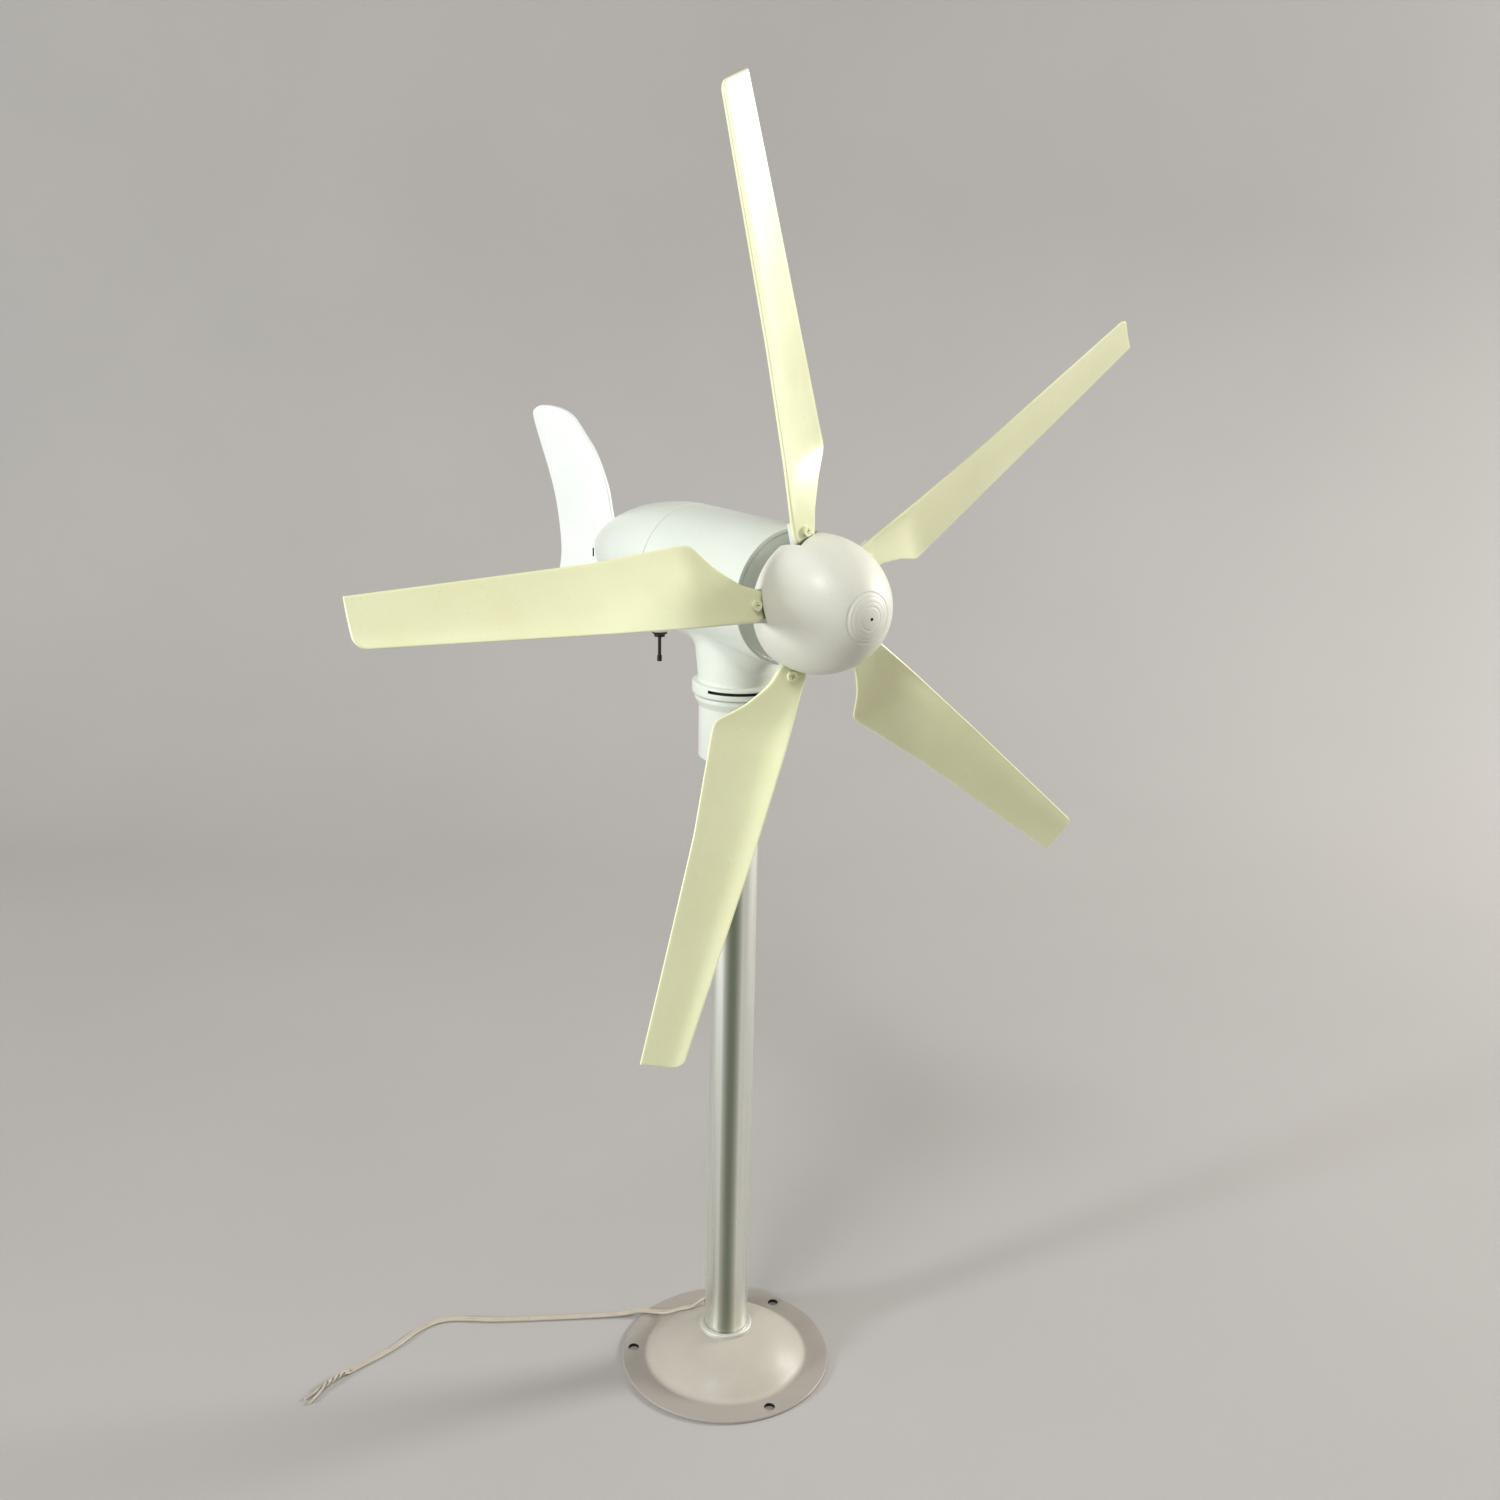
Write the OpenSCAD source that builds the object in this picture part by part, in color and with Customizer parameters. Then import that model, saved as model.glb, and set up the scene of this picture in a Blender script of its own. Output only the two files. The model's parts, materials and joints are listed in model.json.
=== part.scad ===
// Small horizontal-axis wind turbine on a pole with a round base flange.
// Origin: centre of the base flange on the floor. +Z is up and the rotor faces -Y.

/* [Base] */
// Outside diameter of the base flange
base_d = 123; // [118:1:130]
// Pitch circle of the three fixing holes
hole_pcd = 110; // [108:1:112]
// Diameter of each fixing hole
hole_d = 5.5; // [4:0.5:6.5]
// Angle of the first fixing hole from +X
hole_phase = 22; // [0:1:119]
// Diameter at which the dome meets the flat rim
dome_d = 93; // [90:1:96]
// Height of the top of the dome
dome_h = 21; // [19:0.5:23]
// Sheet thickness of the flange
base_t = 2; // [1.5:0.1:2.4]

/* [Pole] */
// Outside diameter of the pole
pole_d = 25; // [25:1:25]
// Wall of the pole
pole_t = 1.5; // [1.5:0.1:1.5]
// Height of the top end of the pole
pole_top = 400; // [398:1:401]

/* [Nacelle] */
// Height of the rotor axis
axis_h = 469; // [468:1:471]
// Outside radius of the nacelle body
body_r = 34.5; // [34:0.5:36]
// Distance of the front lip ahead of the pole axis
body_front = 44; // [43:1:46]
// Distance of the tail cone seam behind the pole axis
seam = 41.5; // [40:0.5:44]
// Radius of the arc that tapers the tail cone
ogive_r = 165; // [160:1:170]
// Wall of the nacelle parts
wall = 2.2; // [1.8:0.1:2.4]

/* [Rotor] */
// Number of blades
blade_n = 5; // [5:1:5]
// Radius of the circle that the blade tips sweep
tip_r = 239.8; // [220:0.1:245]
// Rest angle of the first blade, clockwise from up as seen from the front
blade_phase = -13.65; // [-36:0.05:36]
// Distance of the blade tips ahead of the pole axis
rotor_f = 67; // [66:1:69]
// Thickness of a blade at its root
blade_t = 2.4; // [2:0.1:2.6]
// Radius of the spinner at its widest
spinner_r = 34; // [33.5:0.1:34.5]

/* [Tail fin] */
// Thickness of the tail fin
fin_t = 3; // [2.4:0.1:3.4]
// Distance of the fin's rear tip behind the pole axis
fin_rear = 214; // [205:1:220]
// Height of the fin's top above the rotor axis
fin_up = 72.8; // [66:0.1:78]

/* [Toggle switch] */
// Distance of the switch behind the pole axis
switch_y = 75; // [72:1:78]
// Height of the lever's tip
lever_tip_z = 411.3; // [409:0.1:414]

/* [Hidden] */
fine = 128;
mid = 64;
eps = 0.01;
gap = 0.05;                                // radial clearance of a running or free fit

body_white = [0.92, 0.94, 0.91];
blade_cream = [0.90, 0.90, 0.76];
base_grey = [0.78, 0.75, 0.71];
alloy = [0.76, 0.78, 0.79];
steel = [0.60, 0.61, 0.63];
dark_metal = [0.27, 0.27, 0.28];
brass_tone = [0.80, 0.66, 0.34];
copper = [0.75, 0.45, 0.25];
black_rubber = [0.12, 0.12, 0.13];
cable_beige = [0.86, 0.83, 0.75];

// ---- helpers ----

// Local z points forward along the rotor axis, measured from the pole axis; local y is up.
module on_axis() { translate([0, 0, axis_h]) rotate([90, 0, 0]) children(); }
// The same frame turned about the rotor axis to the rest angle of the rotor.
module on_rotor() { on_axis() rotate([0, 0, -blade_phase]) children(); }
module tube(r_out, r_in, z0, z1, fn = mid) {
    difference() {
        translate([0, 0, z0]) cylinder(r = r_out, h = z1 - z0, $fn = fn);
        translate([0, 0, z0 - 1]) cylinder(r = r_in, h = z1 - z0 + 2, $fn = fn);
    }
}
module ring_of(n, r, phase = 0) {
    for (i = [0:n - 1]) rotate([0, 0, phase + 360 * i / n]) translate([r, 0, 0]) children();
}
function unit(v) = v / norm(v);
function mix(a, b, t) = a * (1 - t) + b * t;
// Catmull-Rom point between the middle two of four points
function spline4(p0, p1, p2, p3, t) =
    0.5 * (2 * p1 + (p2 - p0) * t + (2 * p0 - 5 * p1 + 4 * p2 - p3) * t * t
    + (3 * p1 - p0 - 3 * p2 + p3) * t * t * t);
// Smooth path through all the points, with n steps in each span
function smooth_path(p, n) = let (m = len(p) - 1) concat(
    [for (i = [0:m - 1]) for (k = [0:n - 1])
        spline4(p[max(i - 1, 0)], p[i], p[i + 1], p[min(i + 2, m)], k / n)], [p[m]]);
function directions(path) = let (n = len(path))
    [for (i = [0:n - 1]) unit(path[min(i + 1, n - 1)] - path[max(i - 1, 0)])];
function square_to(v, dir) = unit(v - dir * (v * dir));
// One side vector carried along the path without twist
function carried(dirs, first) =
    [for (i = 0, v = square_to(first, dirs[0]); i < len(dirs);
        i = i + 1, v = square_to(v, dirs[min(i, len(dirs) - 1)])) v];
// Sweep a closed section along a path; sides gives the direction of the section's x.
module sweep(section, path, sides) {
    n = len(path);
    k = len(section);
    dirs = directions(path);
    x = [for (i = [0:n - 1]) square_to(sides[i], dirs[i])];
    pts = [for (i = [0:n - 1]) for (s = section) path[i] + x[i] * s[0] + cross(dirs[i], x[i]) * s[1]];
    wall_faces = [for (i = [0:n - 2]) for (j = [0:k - 1]) let (j2 = (j + 1) % k)
        for (f = [[i * k + j, (i + 1) * k + j, i * k + j2],
            [i * k + j2, (i + 1) * k + j, (i + 1) * k + j2]]) f];
    ends = [[for (j = [0:k - 1]) j], [for (j = [k - 1:-1:0]) (n - 1) * k + j]];
    polyhedron(pts, concat(wall_faces, ends), convexity = 8);
}
function circle_section(r, n = 8) = [for (i = [0:n - 1]) r * [cos(360 * i / n), sin(360 * i / n)]];
module wire(points, r) {
    path = smooth_path(points, 5);
    sweep(circle_section(r), path, carried(directions(path), [0.31, 0.12, 0.94]));
}

// ---- base and pole ----

dome_r = dome_d / 2;
hub_r = 15.2;
hub_skirt_r = 20;
hub_bottom = 3;
// A sphere through the dome's foot and the edge of its centre hole
dome_zc = (pow(hub_r, 2) + pow(dome_h, 2) - pow(dome_r, 2) - pow(base_t, 2)) / (2 * (dome_h - base_t));
dome_sphere = norm([dome_r, base_t - dome_zc]);
function dome_z(r) = dome_zc + sqrt(pow(dome_sphere, 2) - r * r);
hub_step = dome_zc + sqrt(pow(dome_sphere - base_t, 2) - pow(hub_skirt_r, 2)) - 0.2;
pole_r = pole_d / 2;
pole_in = pole_r - pole_t;
exit_z = 31;
exit_a = 96;                               // direction of the cable exit from +X

module base_flange() {
    color(base_grey) difference() {
        union() {
            cylinder(r = base_d / 2, h = base_t, $fn = fine);
            intersection() {
                translate([0, 0, dome_zc]) sphere(r = dome_sphere, $fn = fine);
                cylinder(r = dome_r + 2, h = dome_h + 5, $fn = fine);
            }
        }
        intersection() {
            translate([0, 0, dome_zc]) sphere(r = dome_sphere - base_t, $fn = fine);
            translate([0, 0, -1]) cylinder(r = dome_r, h = dome_h + 5, $fn = fine);
        }
        translate([0, 0, -1]) cylinder(r = hub_r, h = dome_h + 5, $fn = mid);
        ring_of(3, hole_pcd / 2, hole_phase)
            translate([0, 0, -1]) cylinder(d = hole_d, h = base_t + 2, $fn = 32);
    }
}
// Turned hub under the dome; its collar shows as a grey ring around the pole.
module base_hub() {
    color(steel) difference() {
        union() {
            translate([0, 0, hub_bottom]) cylinder(r = hub_skirt_r, h = hub_step - hub_bottom, $fn = mid);
            translate([0, 0, hub_bottom]) cylinder(r = hub_r, h = dome_h + 2.4 - hub_bottom, $fn = mid);
        }
        translate([0, 0, hub_bottom - 1]) cylinder(r = pole_r, h = dome_h + 6, $fn = mid);
        hub_screw_at() translate([0, 0, -2]) cylinder(r = 2.5, h = 12, $fn = 32);
    }
}
module hub_screw_at() { rotate([0, 0, -60]) translate([pole_r, 0, 8]) rotate([0, 90, 0]) children(); }
module grub(r, len, socket) {
    difference() {
        cylinder(r = r, h = len, $fn = 32);
        translate([0, 0, len - socket]) cylinder(r = r * 0.55, h = socket + 1, $fn = 6);
    }
}
module hub_grub_screw() { color(dark_metal) hub_screw_at() grub(2.5, 6, 2.5); }
module pole_tube() {
    color(alloy) difference() {
        translate([0, 0, hub_bottom]) cylinder(r = pole_r, h = pole_top - hub_bottom, $fn = fine);
        translate([0, 0, hub_bottom - 1]) cylinder(r = pole_in, h = pole_top, $fn = fine);
        exit_at() translate([0, 0, -3]) cylinder(r = 3.2, h = 6, $fn = 32);
    }
}
// Local z points out of the pole at the cable exit.
module exit_at() { rotate([0, 0, exit_a]) translate([pole_r, 0, exit_z]) rotate([0, 90, 0]) children(); }
module cable_grommet() {
    color(black_rubber) exit_at() difference() {
        union() {
            translate([0, 0, -pole_t - 0.8]) cylinder(r = 3.2, h = pole_t + 1.6, $fn = 32);
            translate([0, 0, 0.3]) cylinder(r = 4.6, h = 1.5, $fn = 32);
        }
        translate([0, 0, -4]) cylinder(r = 2.3, h = 8, $fn = 32);
    }
}

// Twin lead: from the slip ring down the pole, out at the exit, over the rim and along the floor.
lead_r = 0.9;
lead_half = 1.75;
floor_z = lead_r + 0.1;
exit_dir = [cos(exit_a), sin(exit_a), 0];
rim_z = base_t + lead_r + 0.2;
// A point of the lead lying on the dome at radius r, in direction a from +X
function on_dome(r, a, lift) = [r * cos(a), r * sin(a), dome_z(r) + lift];
cable_points = [
    [0, -1.5, 318], [0, -2, 250], [0, -3, 120], [0, -4, 60], [0, -3, 40],
    exit_dir * 5 + [0, 0, 31.6], exit_dir * 12.6 + [0, 0, 31], exit_dir * 20 + [0, 0, 27.2],
    on_dome(29, 99, 1.8), on_dome(38, 101, 1.8), [-11, 46.5, rim_z + 2.2], [-16, 53.5, rim_z + 0.2],
    [-23, 59.5, rim_z], [-36, 67, floor_z + 0.4], [-65, 84, floor_z], [-97, 103.5, floor_z],
    [-122, 121, floor_z], [-141, 122.5, floor_z], [-163.5, 115, floor_z], [-190, 110.5, floor_z],
];
lead_section = concat(
    [for (a = [-60:30:60]) [lead_half - lead_r + lead_r * cos(a), lead_r * sin(a)]],
    [for (a = [120:30:240]) [lead_r - lead_half + lead_r * cos(a), lead_r * sin(a)]]);
module power_cable() {
    path = smooth_path(cable_points, 4);
    // The lead's width runs along X inside the pole and level everywhere else
    sides = [for (d = directions(path)) abs(d[2]) > 0.9 ? [1, 0, 0] : cross(d, [0, 0, 1])];
    color(cable_beige) sweep(lead_section, path, sides);
}
// The two cores leave the sheath, twist around each other and part at their bare ends.
core_r = 0.75;
module cable_wire_ends() {
    path = smooth_path(cable_points, 4);
    tail = path[len(path) - 1];
    d = directions(path)[len(path) - 1];
    side = cross(d, [0, 0, 1]);
    turns = 2;
    for (s = [-1, 1]) color(cable_beige) wire(concat(
        [tail + d * 0.05 + side * s * 0.95, tail + d * 1.5 + side * s * 0.95],
        [for (k = [0:10]) let (a = 36 * turns * k)
            tail + d * (4 + 1.6 * k) + [0, -0.02 * k * k, 0.95]
            + (side * cos(a) + [0, 0, 1] * sin(a)) * s * (k < 2 || k > 8 ? 1.05 : 0.87)],
        [tail + d * 23 + side * s * 1.3 + [0, -3, 0.2],
            tail + d * 31 + side * s * 2.4 + [0, -5.5, 0]]), core_r);
}

// ---- yaw bearing, on the pole axis ----

sleeve_r = 20.3;
sleeve_bottom = 376;
collar_r = 24;
collar_low = 404.4;
sleeve_lip_r = 22.6;
yaw_gap_z = 410.5;
neck_bottom = 411;
bearing_w = 7;
bearing_id = 4;
low_bearing_z = 360;
neck_floor = 416;

module tower_sleeve() {
    color(body_white) difference() {
        union() {
            translate([0, 0, sleeve_bottom])
                cylinder(r = sleeve_r, h = yaw_gap_z - sleeve_bottom, $fn = fine);
            translate([0, 0, collar_low]) cylinder(r1 = sleeve_r, r2 = sleeve_lip_r, h = 4, $fn = fine);
            translate([0, 0, collar_low + 4])
                cylinder(r = sleeve_lip_r, h = yaw_gap_z - collar_low - 4, $fn = fine);
        }
        translate([0, 0, sleeve_bottom - 1])
            cylinder(r = pole_r, h = pole_top - sleeve_bottom + 1, $fn = fine);
        cylinder(r = 9.5, h = yaw_gap_z + 1, $fn = mid);
        sleeve_screws_at() translate([0, 0, -2]) cylinder(r = 2, h = 12, $fn = 32);
    }
}
module sleeve_screws_at() {
    for (a = [45, 135]) rotate([0, 0, a]) translate([pole_r, 0, 386]) rotate([0, 90, 0]) children();
}
module sleeve_grub_screws() { color(dark_metal) sleeve_screws_at() grub(2, 6.5, 2); }
module both_bearings() {
    for (z = [low_bearing_z, pole_top - bearing_w]) translate([0, 0, z]) children();
}
module yaw_bearing_outer_races() { color(steel) both_bearings() tube(pole_in, 9, 0, bearing_w); }
module yaw_bearing_inner_races() { color(steel) both_bearings() tube(6, bearing_id, 0, bearing_w); }
module yaw_bearing_balls() {
    color(alloy) both_bearings() {
        tube(7.9, 7.1, bearing_w / 2 - 0.8, bearing_w / 2 + 0.8);
        ring_of(8, 7.5) translate([0, 0, bearing_w / 2]) sphere(r = 1.45, $fn = 24);
    }
}
module bearing_spacer() {
    color(steel) tube(pole_in, 9.6, low_bearing_z + bearing_w, pole_top - bearing_w);
}
module yaw_spacer() { color(steel) tube(6.4, bearing_id, pole_top, neck_bottom); }
module yaw_shaft() {
    color(steel) difference() {
        union() {
            translate([0, 0, 346]) cylinder(r = bearing_id, h = neck_floor - 346 + 1, $fn = mid);
            translate([0, 0, neck_floor]) cylinder(r = 14, h = 3, $fn = mid);
        }
        translate([0, 0, 340]) cylinder(r = 2.6, h = 90, $fn = 32);
        ring_of(3, 10.5, 30) translate([0, 0, neck_floor - 1]) cylinder(r = 1.5, h = 6, $fn = 24);
    }
}
module yaw_flange_screws() {
    color(dark_metal) ring_of(3, 10.5, 30) {
        translate([0, 0, neck_bottom + 0.6])
            cylinder(r = 1.5, h = neck_floor + 3 - neck_bottom - 0.6 + 1, $fn = 24);
        pan_head(neck_floor + 3);
    }
}
// A small pan head with a cross recess, its flat face at height z
module pan_head(z, r = 2.6, h = 1.7) {
    translate([0, 0, z]) difference() {
        cylinder(r = r, h = h, $fn = 32);
        for (a = [0, 90]) rotate([0, 0, a]) translate([-r * 0.55, -0.3, h * 0.45]) cube([r * 1.1, 0.6, h]);
    }
}
module yaw_shaft_nut() {
    color(steel) difference() {
        translate([0, 0, low_bearing_z - 5]) cylinder(d = 13, h = 5, $fn = 6);
        translate([0, 0, low_bearing_z - 6]) cylinder(r = bearing_id, h = 7, $fn = mid);
    }
}

// ---- slip ring under the yaw bearing ----

drum_top = 346;
drum_bottom = 324;
module slip_ring_drum() {
    color(black_rubber) difference() {
        union() {
            translate([0, 0, drum_bottom]) cylinder(r = 4.5, h = drum_top - drum_bottom, $fn = mid);
            for (z = [drum_bottom, 333.5, drum_top - 2])
                translate([0, 0, z]) cylinder(r = 5.6, h = 2, $fn = mid);
        }
        translate([0, 0, drum_bottom + 4]) cylinder(r = 2.6, h = 30, $fn = 32);
    }
}
module slip_ring_bands() {
    color(brass_tone) for (z = [327.5, 337.5]) tube(5.2, 4.5, z, z + 4);
}
module slip_ring_housing() {
    color(dark_metal) difference() {
        union() {
            tube(pole_in, 9.4, 321, low_bearing_z, mid);
            for (a = [0, 180]) rotate([0, 0, a]) translate([7, -2.5, 325]) cube([3.2, 5, 19]);
        }
        slip_brush_holes();
    }
}
module slip_brush_holes() {
    translate([3, -1, 328.3]) cube([7.5, 2, 2.4]);
    rotate([0, 0, 180]) translate([3, -1, 338.3]) cube([7.5, 2, 2.4]);
}
module slip_ring_brushes() {
    color(copper) difference() {
        slip_brush_holes();
        translate([0, 0, 320]) cylinder(r = 5.2 + gap, h = 30, $fn = mid);
        translate([0, 0, 320]) tube(12, 9.9, 0, 40);
    }
}

// ---- nacelle ----

neck_r0 = 20.9;
neck_r1 = 22.2;
fillet = 11.3;
neck_in = 18.5;
belly_z = axis_h - body_r;
// The neck and its flare into the belly: the flare's arc is seen from the side,
// and the outline of the cross-section narrows it towards both flanks.
module neck_outer() {
    intersection() {
        union() {
            translate([0, 0, neck_floor]) cylinder(r1 = neck_r0, r2 = neck_r1, h = 11, $fn = fine);
            rotate_extrude($fn = fine) difference() {
                translate([0, belly_z - fillet]) square([neck_r1 + fillet, fillet + 12]);
                translate([neck_r1 + fillet, belly_z - fillet]) circle(r = fillet, $fn = fine);
            }
        }
        rotate([90, 0, 0]) translate([0, 0, -60]) linear_extrude(120) polygon([
            [-neck_r1, neck_floor], [neck_r1, neck_floor], [neck_r1 + 0.1, 436], [neck_r1 + 1.4, 440.5],
            [neck_r1 + 4.2, 446.4], [0, axis_h], [-neck_r1 - 4.2, 446.4], [-neck_r1 - 1.4, 440.5],
            [-neck_r1 - 0.1, 436],
        ]);
    }
    translate([0, 0, neck_bottom]) cylinder(r = collar_r, h = 5.4, $fn = fine);
    translate([0, 0, neck_bottom + 5.4]) cylinder(r1 = collar_r, r2 = neck_r0 + 0.4, h = 1.2, $fn = fine);
}
slot_z = neck_bottom + 3.2;
// A shallow slot around the front of the neck's collar
module collar_slot() {
    intersection() {
        tube(collar_r + 1, collar_r - 2.4, slot_z, slot_z + 1.6, fine);
        translate([-30, -30, slot_z - 1]) cube([60, 24, 4]);
    }
}
module nacelle_body() {
    color(body_white) difference() {
        union() {
            on_axis() translate([0, 0, -seam]) cylinder(r = body_r, h = seam + body_front, $fn = fine);
            neck_outer();
        }
        on_axis() translate([0, 0, -seam - 1])
            cylinder(r = body_r - wall, h = seam + body_front + 2, $fn = fine);
        translate([0, 0, neck_floor]) cylinder(r = neck_in, h = 34, $fn = mid);
        collar_slot();
        translate([0, 0, neck_bottom - 1]) cylinder(r = bearing_id + gap, h = 10, $fn = mid);
        ring_of(3, 10.5, 30) translate([0, 0, neck_bottom + 0.6]) cylinder(r = 1.5, h = 8, $fn = 24);
        cone_screws_at() translate([0, 0, -1]) cylinder(r = 1.3, h = 6, $fn = 24);
        cone_screws_at() translate([0, 0, wall - 1.2]) cylinder(r1 = 1.3, r2 = 2.6, h = 1.3, $fn = 24);
    }
}
// Local z points outwards from the inside face of the body wall at the two cone screws.
module cone_screws_at() {
    for (a = [60, 180]) on_axis() rotate([0, 0, 90 - a])
        translate([body_r - wall, 0, -seam + 2.6]) rotate([0, 90, 0]) children();
}
module front_cover() {
    cover_r = body_r - wall;
    color(body_white) on_axis() difference() {
        union() {
            translate([0, 0, body_front - 3]) cylinder(r = cover_r, h = 2.6, $fn = fine);
            tube(cover_r, cover_r - 2, body_front - 10, body_front - 2, fine);
        }
        translate([0, 0, body_front - 4]) cylinder(r = 9, h = 6, $fn = mid);
        ring_of(4, 16, 45) translate([0, 0, body_front - 4]) cylinder(r = 1.6, h = 6, $fn = 24);
    }
}

function ogive(s, thin = 0) = sqrt(pow(ogive_r - thin, 2) - s * s) - (ogive_r - body_r);
cone_len = sqrt(pow(ogive_r, 2) - pow(ogive_r - body_r, 2)) - 1.4;
// A body of revolution behind the seam, made of one arc
module ogive_body(thin, len) {
    on_axis() translate([0, 0, -seam]) rotate([180, 0, 0]) rotate_extrude($fn = fine) intersection() {
        translate([body_r - ogive_r, 0]) circle(r = ogive_r - thin, $fn = 360);
        square([body_r + 1, len]);
    }
}
fin_slot_y = 118.6;
pod_r0 = 6.5;
pod_bottom = 429;
seat_z = 434;
module switch_at() { translate([0, switch_y, 0]) children(); }
module tail_cone() {
    color(body_white) difference() {
        union() {
            difference() {
                union() {
                    ogive_body(0, cone_len);
                    switch_at() translate([0, 0, pod_bottom])
                        cylinder(r1 = pod_r0, r2 = 9.7, h = 14, $fn = mid);
                }
                ogive_body(wall, cone_len - 6);
            }
            difference() {
                switch_at() translate([0, 0, pod_bottom]) cylinder(r1 = pod_r0, r2 = 9.7, h = 14, $fn = mid);
                translate([0, 0, 441.5]) cylinder(r = 200, h = 20);
            }
            on_axis() tube(body_r - wall, body_r - wall - 2, -seam - 3, -seam + 5, fine);
            for (s = [-1, 1]) fin_cheek(s);
        }
        cone_screws_at() translate([0, 0, -3]) cylinder(r = 1.3, h = 6, $fn = 24);
        translate([-fin_t / 2, fin_slot_y, axis_h - 30]) cube([fin_t, 60, 60]);
        fin_screw_at() translate([0, 0, -20]) cylinder(r = 1.5, h = 40, $fn = 24);
        switch_at() {
            translate([0, 0, pod_bottom - 1]) cylinder(r = 3, h = 20, $fn = 32);
            translate([-6, -3.8, seat_z]) cube([12, 7.6, 12]);
        }
    }
}
// Two cheeks inside the cone grip the root of the fin between them.
module fin_cheek(s) {
    intersection() {
        translate([s > 0 ? fin_t / 2 : -fin_t / 2 - 2.5, 103, axis_h - 20]) cube([2.5, 26, 40]);
        ogive_body(wall - 0.6, cone_len - 4);
    }
}
module cone_screw() {
    translate([0, 0, -5]) cylinder(r = 1.3, h = 6, $fn = 24);
    translate([0, 0, wall - 1.2]) cylinder(r1 = 1.3, r2 = 2.5, h = 1.2, $fn = 24);
    cylinder(r = 1.3, h = wall - 1, $fn = 24);
}
module tail_cone_screws() { color(steel) cone_screws_at() cone_screw(); }

// ---- tail fin ----

fin_top = axis_h + fin_up;
// Outline in the plane of Y and Z, clockwise from the front root; a swept upper lobe,
// a notch at the axis and a short lower lobe.
fin_corners = [
    [119, axis_h + 12], [124.5, axis_h + 17], [130, axis_h + 33], [142, axis_h + 50],
    [154, axis_h + 59.5], [168, axis_h + 69], [182, fin_top - 0.4], [200, fin_top],
    [fin_rear - 3.5, fin_top - 2.2], [fin_rear, fin_top - 7.4], [205, axis_h + 49.5],
    [196.5, axis_h + 36], [189, axis_h + 21.5], [184, axis_h + 5], [182, axis_h - 10.5],
    [184, axis_h - 21], [188.5, axis_h - 33], [188, axis_h - 41], [181, axis_h - 45.5],
    [168, axis_h - 42.5], [153, axis_h - 31], [141, axis_h - 15], [134, axis_h - 8],
];
module fin_plate(points, t) {
    translate([-t / 2, 0, 0]) rotate([90, 0, 90]) linear_extrude(t) polygon(points);
}
module fin_screw_at() { translate([0, 109, axis_h]) rotate([0, 90, 0]) children(); }
module tail_fin() {
    color(body_white) difference() {
        union() {
            fin_plate(smooth_path(fin_corners, 3), fin_t - 2 * gap);
            // The tang between the cheeks
            translate([-fin_t / 2 + gap, 104.5, axis_h - 7]) cube([fin_t - 2 * gap, 32, 16]);
        }
        fin_screw_at() translate([0, 0, -5]) cylinder(r = 1.5, h = 10, $fn = 24);
        // A short slit beside the end of the cone
        translate([-3, 143.1, axis_h - 9.4]) cube([3.2, 1.6, 5]);
    }
}
cheek_out = fin_t / 2 + 2.5;
module fin_screw() {
    color(steel) fin_screw_at() {
        translate([0, 0, -cheek_out - 3]) cylinder(r = 1.5, h = 2 * cheek_out + 3.5, $fn = 24);
        pan_head(cheek_out);
    }
}
module fin_nut() {
    color(steel) fin_screw_at() difference() {
        translate([0, 0, -cheek_out - 2.4]) cylinder(d = 6.2, h = 2.4, $fn = 6);
        translate([0, 0, -cheek_out - 3]) cylinder(r = 1.5, h = 4, $fn = 24);
    }
}

// ---- toggle switch ----

lever_pivot_z = 432;
bushing_end = 425.4;
module lever_barrel(r, len) {
    translate([0, len / 2, lever_pivot_z]) rotate([90, 0, 0]) cylinder(r = r, h = len, $fn = 32);
}
module switch_body() {
    color([0.15, 0.25, 0.5]) switch_at() difference() {
        translate([-5.8, -3.6, seat_z]) cube([11.6, 7.2, 9]);
        translate([0, 0, seat_z - 1]) cylinder(r = 2, h = 3, $fn = 24);
    }
}
module switch_terminals() {
    color(alloy) switch_at() for (x = [-3.8, 0, 3.8])
        translate([x - 0.7, -0.4, seat_z + 9]) cube([1.4, 0.8, 4]);
}
module switch_bushing() {
    color(alloy) switch_at() difference() {
        translate([0, 0, bushing_end]) cylinder(r = 3, h = seat_z - bushing_end, $fn = 32);
        lever_barrel(1.45 + gap, 2.6);
        translate([0, 0, bushing_end - eps])
            cylinder(r1 = 2.5, r2 = 1.3, h = lever_pivot_z - bushing_end, $fn = 32);
    }
}
module switch_washer() { color(alloy) switch_at() tube(5, 3, pod_bottom - 0.4, pod_bottom); }
module switch_nut() {
    color(dark_metal) switch_at() difference() {
        translate([0, 0, pod_bottom - 2]) rotate([0, 0, 12]) cylinder(d = 8.6, h = 1.6, $fn = 6);
        translate([0, 0, pod_bottom - 3]) cylinder(r = 3, h = 4, $fn = 32);
    }
}
module toggle_lever() {
    color(dark_metal) switch_at() {
        lever_barrel(1.45, 2.5);
        translate([0, 0, lever_tip_z + 2])
            cylinder(r = 0.95, h = lever_pivot_z - lever_tip_z - 2, $fn = 24);
        translate([0, 0, lever_tip_z]) cylinder(r = 1.35, h = 3.2, $fn = 24);
    }
}

// ---- generator motor, on the rotor axis; f is the distance ahead of the pole axis ----

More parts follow.
